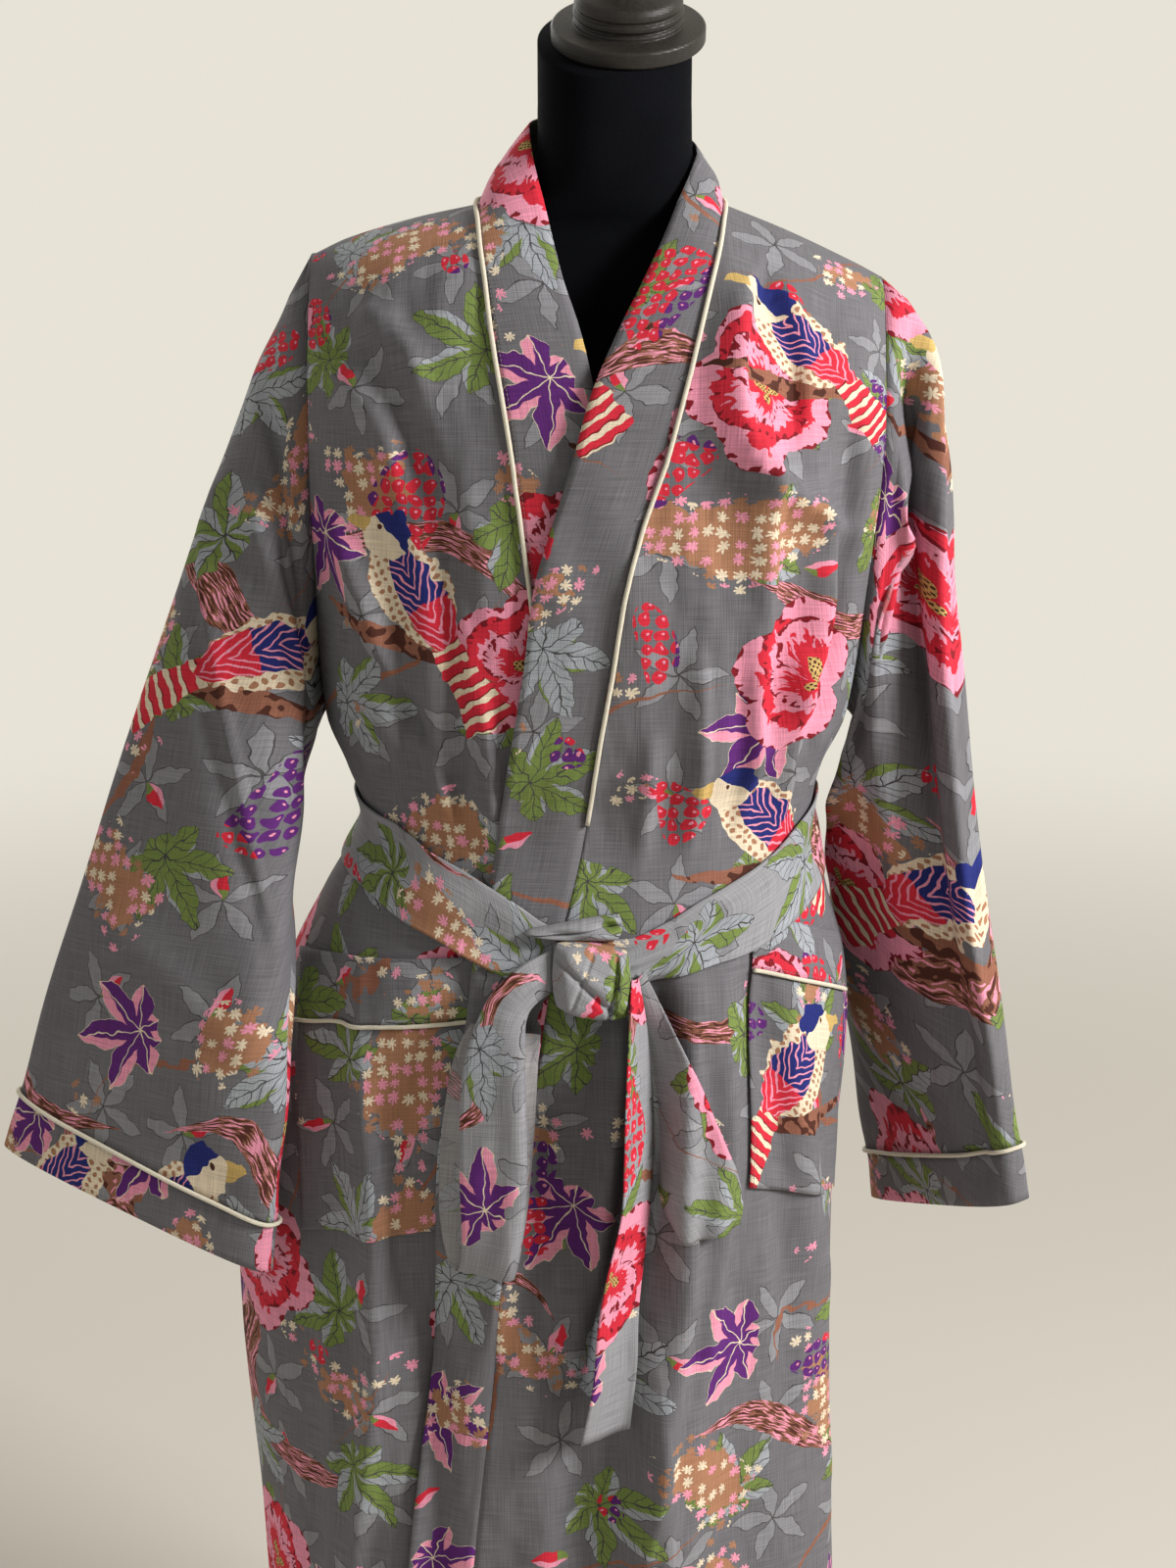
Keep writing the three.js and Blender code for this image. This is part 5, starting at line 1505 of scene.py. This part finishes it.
def blossoms(colour, place, flat, rough):
    """Drifts of small stars in cream, pink and brown, and elsewhere bunches of round berries."""
    stars, fruit, kind = split(noise(flat, 1 / 90, 0.0, True, flat=True))
    colour = painted(colour, TAN, scaled(rough, 0.20, stars) > DRIFTS_FROM)
    point, a, b, c = lattice(place, STAR_SPACING, 5.0, 0.30)
    x, y, _ = split(point)
    berry = fruit > BERRIES_FROM
    spokes = abs(calc("COSINE", scaled(c, 6.0, calc("ARCTAN2", y, x) * 3.5)))
    rim = scaled(calc("MAXIMUM", spokes, berry), 3.0, 1.5)
    room = calc("MAXIMUM", scaled(a, 0.10, stars) > STARS_FROM, berry)
    star = ramp(b, (0, CREAM), (0.38, PINK), (0.76, TAN))
    shine = vector("DISTANCE", point, (1.2, 1.2, 0)) < 1.0
    fruit_tone = painted(ramp(kind, (0, PURPLE), (0.5, RED)), PINK, shine)
    return painted(colour, painted(star, fruit_tone, berry), (vector("LENGTH", point) < rim) * room)


# Each ring of petals: lobes, turn, rim, inner colour, outer colour and where the outer one starts
PETALS = [
    (2.5, 0.4, 0.80, RED, PINK, 0.50),
    (2.0, 1.3, 0.56, PINK, RED, 0.36),
    (1.5, 2.1, 0.32, RED, PINK, 0.14),
]


def peonies(colour, place, size, radius):
    """Open flowers of three rings of petals in red and pink, seen a little from the side."""
    point, a, _, c = lattice(place, size, 12.0, 0.36)
    x, y, _ = split(point)
    reach = scaled(calc("GREATER_THAN", a, 0.78), 9.0, 1 / radius)
    away = vector("LENGTH", point) * reach
    angle = scaled(c, WHOLE_TURN, calc("ARCTAN2", y, x))
    streak = scaled(noise(joined(angle * 8.0, away * 7.0), 1.0, 1.0, flat=True), -0.36, 0.18)
    lean = 0.0
    for count, phase, rim, inner, outer, edge in PETALS:
        lobe = abs(calc("COSINE", scaled(angle, count, phase)))
        part = scaled(lobe, -0.22, away)
        if lean:
            part = scaled(y, lean / radius, part)
        tone = ramp(part + streak, (0, inner), (edge, outer), (rim - 0.02, DARK_RED))
        colour = painted(colour, tone, part < rim)
        lean -= 0.16
    dots = calc("SINE", x * 1.6) * calc("SINE", y * 1.6)
    petals = painted(colour, ramp(dots, (0, OCHRE), (0.2, DARK_BROWN)), part < -0.03)
    return petals, away < 1.25


def oval(point, x, y, long, wide, turn):
    """How far out a point lies in an oval, 1 at its rim, and the place along and across it."""
    moved = rotated(vector("SUBTRACT", point, (x, y, 0)), math.radians(-turn))
    return vector("LENGTH", vector("MULTIPLY", moved, (1 / long, 1 / wide, 0))), moved


def birds(colour, place, size, rough):
    """Perched birds with a spotted breast, a blue and red wing and a banded tail."""
    point, a, b, _ = lattice(place, size, 13.0, 0.30, 0.7)
    point = vector("MULTIPLY", point, joined(scaled(b < 0.5, 2.0, -1.0), 1.0))
    x, y, _ = split(point)
    there = scaled(a < 0.8, -99.0, 99.0)
    ragged = scaled(rough, 0.35, there)
    perch = abs(y + 40) + there < scaled(abs(x), -0.11, 9.0)
    colour = painted(colour, ramp(rough, (0, BROWN), (0.52, DARK_BROWN)), perch)
    along, across, _ = split(rotated(vector("SUBTRACT", point, (22, -14, 0)), 0.72))
    tail = (abs(across) + there < scaled(along, 0.15, 7.0)) * (abs(along - 48) < 48)
    tone = ramp(calc("FRACT", along * 0.09), (0, CREAM), (0.38, RED), (0.9, DARK_RED))
    colour = painted(colour, tone, tail)
    rim, _ = oval(point, 0, 0, 45, 27, -38)
    spots = calc("SINE", x * 0.7) * calc("SINE", y * 0.7)
    colour = painted(colour, ramp(spots, (0, CREAM), (0.3, TAN)), rim + ragged < 1.17)
    rim, wing = oval(point, 10, -3, 41, 17, -38)
    along, across, _ = split(wing)
    feather = calc("FRACT", scaled(abs(across), 0.17, along * 0.11)) < 0.26
    tone = ramp(scaled(along, 0.01, 0.5), (0, BLUE), (0.56, RED))
    colour = painted(colour, painted(tone, PINK, feather), rim + ragged < 1.17)
    rim, _ = oval(point, -30, 29, 20, 17, 30)
    tone = ramp(scaled(x, 0.005, y * 0.01), (0, CREAM), (0.17, BLUE))
    colour = painted(colour, tone, rim + ragged < 1.17)
    beak = abs(y - 29) + there < scaled(x, 0.25, 18.5)
    colour = painted(colour, OCHRE, beak * (x < -47))
    eye = vector("DISTANCE", point, (-36, 32, 0)) + there
    plumage = painted(colour, ramp(eye * 0.1, (0, DARK_BROWN), (0.22, CREAM)), eye < 3.6)
    return plumage, vector("DISTANCE", point, (18, -16, 0)) + there < 92


def print_colour(tree, ground):
    """The print over a ground colour, as colours with their zones, and the place on flat cloth.

    The birds have a second set of the flowers behind them, because the first shows in its own zone only.
    """
    cut = tree.nodes.new("ShaderNodeUVMap")
    cut.uv_map = "cut"
    flat = vector("MULTIPLY", Sum(tree, cut.outputs[0]), (1000.0, 1000.0, 0.0))
    brush = noise(flat, 1 / 13, 1.0, True, 0.6, flat=True)
    place = vector("MULTIPLY_ADD", brush, (7.0, 7.0, 0.0), flat)
    rough = split(brush)[0]
    flow = noise(flat, 1 / 150, 0.0, True, flat=True)
    colour = faint_leaves(ground, place)
    colour = branches(colour, place, flow)
    colour = leaves(colour, place)
    colour = blossoms(colour, place, flat, rough)
    petals, bloom = peonies(colour, place, PEONY_SPACING, PEONY_RADIUS)
    behind, _ = peonies(colour, place, PEONY_SPACING, PEONY_RADIUS + 0.01)
    plumage, bird = birds(behind, place, BIRD_SPACING, rough)
    return [(colour, None), (petals, bloom), (plumage, bird)], flat


def threads(flat):
    """Thicker and thinner threads of the plain weave, in both directions."""
    warp = noise(vector("MULTIPLY", flat, (1.0, 0.03, 0)), 1.1, flat=True)
    weft = noise(vector("MULTIPLY", flat, (0.03, 1.0, 0)), 1.1, flat=True)
    return warp + weft


def new_material(name, roughness, specular=0.3):
    material = bpy.data.materials.new(name)
    material.use_nodes = True
    shader = material.node_tree.nodes["Principled BSDF"]
    shader.inputs["Roughness"].default_value = roughness
    shader.inputs["Specular IOR Level"].default_value = specular
    return material, material.node_tree, shader


def blended(tree, share, first, second):
    """The first shader, covered by the second as far as the share says."""
    blend = tree.nodes.new("ShaderNodeMixShader")
    fill(tree, blend.inputs["Fac"], share)
    tree.links.new(first.outputs[0], blend.inputs[1])
    tree.links.new(second.outputs[0], blend.inputs[2])
    tree.links.new(blend.outputs[0], tree.nodes["Material Output"].inputs["Surface"])
    return blend


def raised(tree, shader, height, distance):
    bump = tree.nodes.new("ShaderNodeBump")
    bump.inputs["Distance"].default_value = distance
    fill(tree, bump.inputs["Height"], height)
    tree.links.new(bump.outputs[0], shader.inputs["Normal"])
    return bump


def cotton(name, ground, wash):
    """Printed cotton; wash is how much the ground colour pales the print.

    The flowers and the birds are shaders of their own over the cloth's, each shown in its zone.
    """
    material, tree, whole = new_material(name, COTTON_ROUGHNESS, COTTON_SPECULAR)
    layers, flat = print_colour(tree, ground)
    slubs = threads(flat)
    # The colour is lighter on the threads that the bump raises and darker between them. This is partly the
    # threads' uneven tone and partly painted light and shade of the weave.
    tone_and_weave_shade = scaled(slubs, 0.36, 0.64)
    bump = raised(tree, whole, slubs, WEAVE_DEPTH)
    for colour, zone in layers:
        shader = whole
        if zone:
            shader = tree.nodes.new("ShaderNodeBsdfPrincipled")
            shader.inputs["Roughness"].default_value = COTTON_ROUGHNESS
            shader.inputs["Specular IOR Level"].default_value = COTTON_SPECULAR
            tree.links.new(bump.outputs[0], shader.inputs["Normal"])
        if wash > 0:
            colour = painted(colour, ground, wash)
        fill(tree, shader.inputs["Base Color"], vector("SCALE", colour, (0, 0, 0), (0, 0, 0), tone_and_weave_shade))
        if zone:
            whole = blended(tree, zone, whole, shader)
    return material


def object_place(tree, factor=1000.0):
    """The place in space on the piece, in millimetres."""
    node = tree.nodes.new("ShaderNodeTexCoord")
    return vector("MULTIPLY", Sum(tree, node.outputs["Object"]), (factor, factor, factor))


def cream_cord():
    """Cotton-covered piping: a fine slanting twill, with painted shade as a little grey along its lines, and
    blots of uneven tone.
    """
    material, tree, shader = new_material("cream_cotton", 0.75)
    place = object_place(tree)
    x, y, z = split(place)
    twill = calc("SINE", (x + y + z) * 7.0)
    blots = noise(place, 0.35, 2.0)
    # The grey along the twill is painted shade. The blots are the cotton's uneven tone.
    colour = painted((0.80, 0.74, 0.60), (0.60, 0.55, 0.45), scaled(twill, 0.12, blots * 0.5))
    fill(tree, shader.inputs["Base Color"], colour)
    raised(tree, shader, twill * 0.4 + blots, WEAVE_DEPTH)
    return material


def black_velvet():
    """Short black pile, painted lighter in patches where it leans as painted sheen, and with the shader's
    sheen where the light grazes it.
    """
    material, tree, shader = new_material("black_velvet", 0.95, 0.05)
    shader.inputs["Sheen Weight"].default_value = 0.06
    shader.inputs["Sheen Roughness"].default_value = 0.35
    shader.inputs["Sheen Tint"].default_value = (0.45, 0.5, 0.6, 1)
    place = object_place(tree)
    leaning_sheen = noise(place, 1 / 60, 3.0)
    pile = noise(place, 1.4, 1.0)
    # Painted sheen: the base colour is lighter where the pile leans and stands highest.
    fill(tree, shader.inputs["Base Color"],
         painted((0.0020, 0.0022, 0.0032), (0.0090, 0.0095, 0.0125), leaning_sheen * pile))
    raised(tree, shader, pile, PILE_DEPTH)
    return material


def black_wood():
    """Turned wood, stained black and waxed, with fine turning rings and a little brown in the grain."""
    material, tree, shader = new_material("black_wood", 0.45, 0.4)
    place = object_place(tree)
    grain = noise(vector("MULTIPLY", place, (0.5, 0.5, 0.035)), 1.0, 3.0)
    rings = calc("SINE", split(place)[2] * 4.2)
    fill(tree, shader.inputs["Base Color"], painted((0.009, 0.010, 0.009), (0.034, 0.027, 0.022), grain))
    fill(tree, shader.inputs["Roughness"], scaled(grain, 0.30, 0.34))
    raised(tree, shader, grain + rings * 0.3, GRAIN_DEPTH)
    return material


def sewing_thread():
    material, tree, shader = new_material("grey_thread", 0.6)
    # Darker bands across the thread for its twist: painted shade of the twist's grooves.
    twist_shade = calc("SINE", vector("LENGTH", object_place(tree)) * 9.0)
    colour = painted((0.26, 0.25, 0.26), (0.14, 0.13, 0.14), scaled(twist_shade, 0.4, 0.5))
    fill(tree, shader.inputs["Base Color"], colour)
    return material


# Each cotton's face and its reverse
COTTONS = {
    name: (cotton(name, ground, 0.0), cotton(name + "_reverse", GROUND_PALE, wash))
    for name, ground, wash in ((PRINTED, GROUND, 0.4), (BELTED, BELT_GROUND, 0.5))
}
cream = cream_cord()
velvet = black_velvet()
wood = black_wood()
thread = sewing_thread()


# The object

def build():
    left = make_front(1, True)
    right = make_front(-1, False)
    back = make_back()
    make_sleeve(-1, "right", SLEEVE_RIGHT, right, back)
    make_sleeve(1, "left", SLEEVE_LEFT, left, back)
    make_pocket(-1, "right", POCKET_RIGHT, False)
    make_pocket(1, "left", POCKET_LEFT, True)
    make_belt()
    make_lump("belt_knot", KNOT, knot_folds, 60, 72)
    make_lump("belt_fold", EAR, ear_folds, 36, 72)
    make_strip("belt_loop", LOOP, 14, 2)
    make_strip("belt_tail_long", TAIL_LONG, 14, 2)
    make_strip("belt_tail_short", TAIL_SHORT, 14, 3)
    make_form()
    make_stand()


# Floor, light and camera, in metres

BACKDROP = (0.80, 0.765, 0.67, 1)
FLOOR_HALF = 40
FLOOR_FADE = (1.2, 4.5)  # where the floor begins to fade into the backdrop and where it ends
LIGHTS = table("name place size power colour", [
    ("window", (2.5, -1.35, 2.45), 0.9, 128, (1.0, 0.985, 0.96)),
    ("fill", (-2.4, -1.6, 1.7), 1.8, 6, (0.95, 0.97, 1.0)),
    ("behind", (-1.2, 2.2, 2.4), 1.6, 16, (1.0, 1.0, 1.0)),
])
LIGHTS_AIM = (0, 0, 1.0)
CAMERA_PLACE = (-0.009, -1.8, 1.45)
CAMERA_AIM = (-0.009, 0, 0.989)
CAMERA_LENS = 55.74      # in millimetres, on a sensor 36 mm high


def eased(value, begin, end, least=0.0):
    """From the least at the begin value to 1 at the end value, with soft ends."""
    node = value.tree.nodes.new("ShaderNodeMapRange")
    node.interpolation_type = "SMOOTHSTEP"
    node.inputs["From Min"].default_value = begin
    node.inputs["From Max"].default_value = end
    node.inputs["To Min"].default_value = least
    fill(value.tree, node.inputs["Value"], value)
    return Sum(value.tree, node.outputs["Result"])


def backdrop_strength(place):
    """The studio's walls, bright behind the robe and darker on the side it faces."""
    return eased(split(vector("NORMALIZE", place))[1], -0.7, 0.8, 0.3)


def make_floor():
    """A floor that fades into the backdrop."""
    mesh = bpy.data.meshes.new("floor")
    corners = [(x * FLOOR_HALF, y * FLOOR_HALF, 0) for x, y in ((-1, -1), (1, -1), (1, 1), (-1, 1))]
    mesh.from_pydata(corners, [], [(0, 1, 2, 3)])
    material, tree, shader = new_material("pale_floor", 0.9, 0.5)
    shader.inputs["Base Color"].default_value = (0.60, 0.57, 0.52, 1)
    place = object_place(tree, 1.0)
    glow = tree.nodes.new("ShaderNodeEmission")
    glow.inputs["Color"].default_value = BACKDROP
    fill(tree, glow.inputs["Strength"], backdrop_strength(place))
    blended(tree, eased(vector("LENGTH", place), *FLOOR_FADE), shader, glow)
    mesh.materials.append(material)
    floor = in_scene("floor", mesh)


def aimed(thing, place, aim):
    thing.location = place
    thing.rotation_euler = (Vector(aim) - Vector(place)).to_track_quat("-Z", "Y").to_euler()


def make_light():
    world = bpy.data.worlds.new("studio")
    bpy.context.scene.world = world
    world.use_nodes = True
    tree = world.node_tree
    background = tree.nodes["Background"]
    background.inputs["Color"].default_value = BACKDROP
    position = tree.nodes.new("ShaderNodeTexCoord")
    strength = backdrop_strength(Sum(tree, position.outputs["Generated"]))
    fill(tree, background.inputs["Strength"], strength)
    for lamp in LIGHTS:
        data = bpy.data.lights.new(lamp["name"], "AREA")
        data.size = lamp["size"]
        data.energy = lamp["power"]
        data.color = lamp["colour"]
        aimed(in_scene(lamp["name"], data), lamp["place"], LIGHTS_AIM)


def make_camera():
    """The camera, and few bounces of light, to keep the render short."""
    data = bpy.data.cameras.new("camera")
    data.sensor_fit = "VERTICAL"
    data.sensor_height = 36
    data.lens = CAMERA_LENS
    data.clip_end = 100
    scene = bpy.context.scene
    scene.cycles.max_bounces = 2
    scene.cycles.diffuse_bounces = 1
    scene.cycles.glossy_bounces = 1
    scene.camera = in_scene("camera", data)
    aimed(scene.camera, CAMERA_PLACE, CAMERA_AIM)
    scene.view_settings.view_transform = "Standard"


make_camera()
make_light()
make_floor()
build()
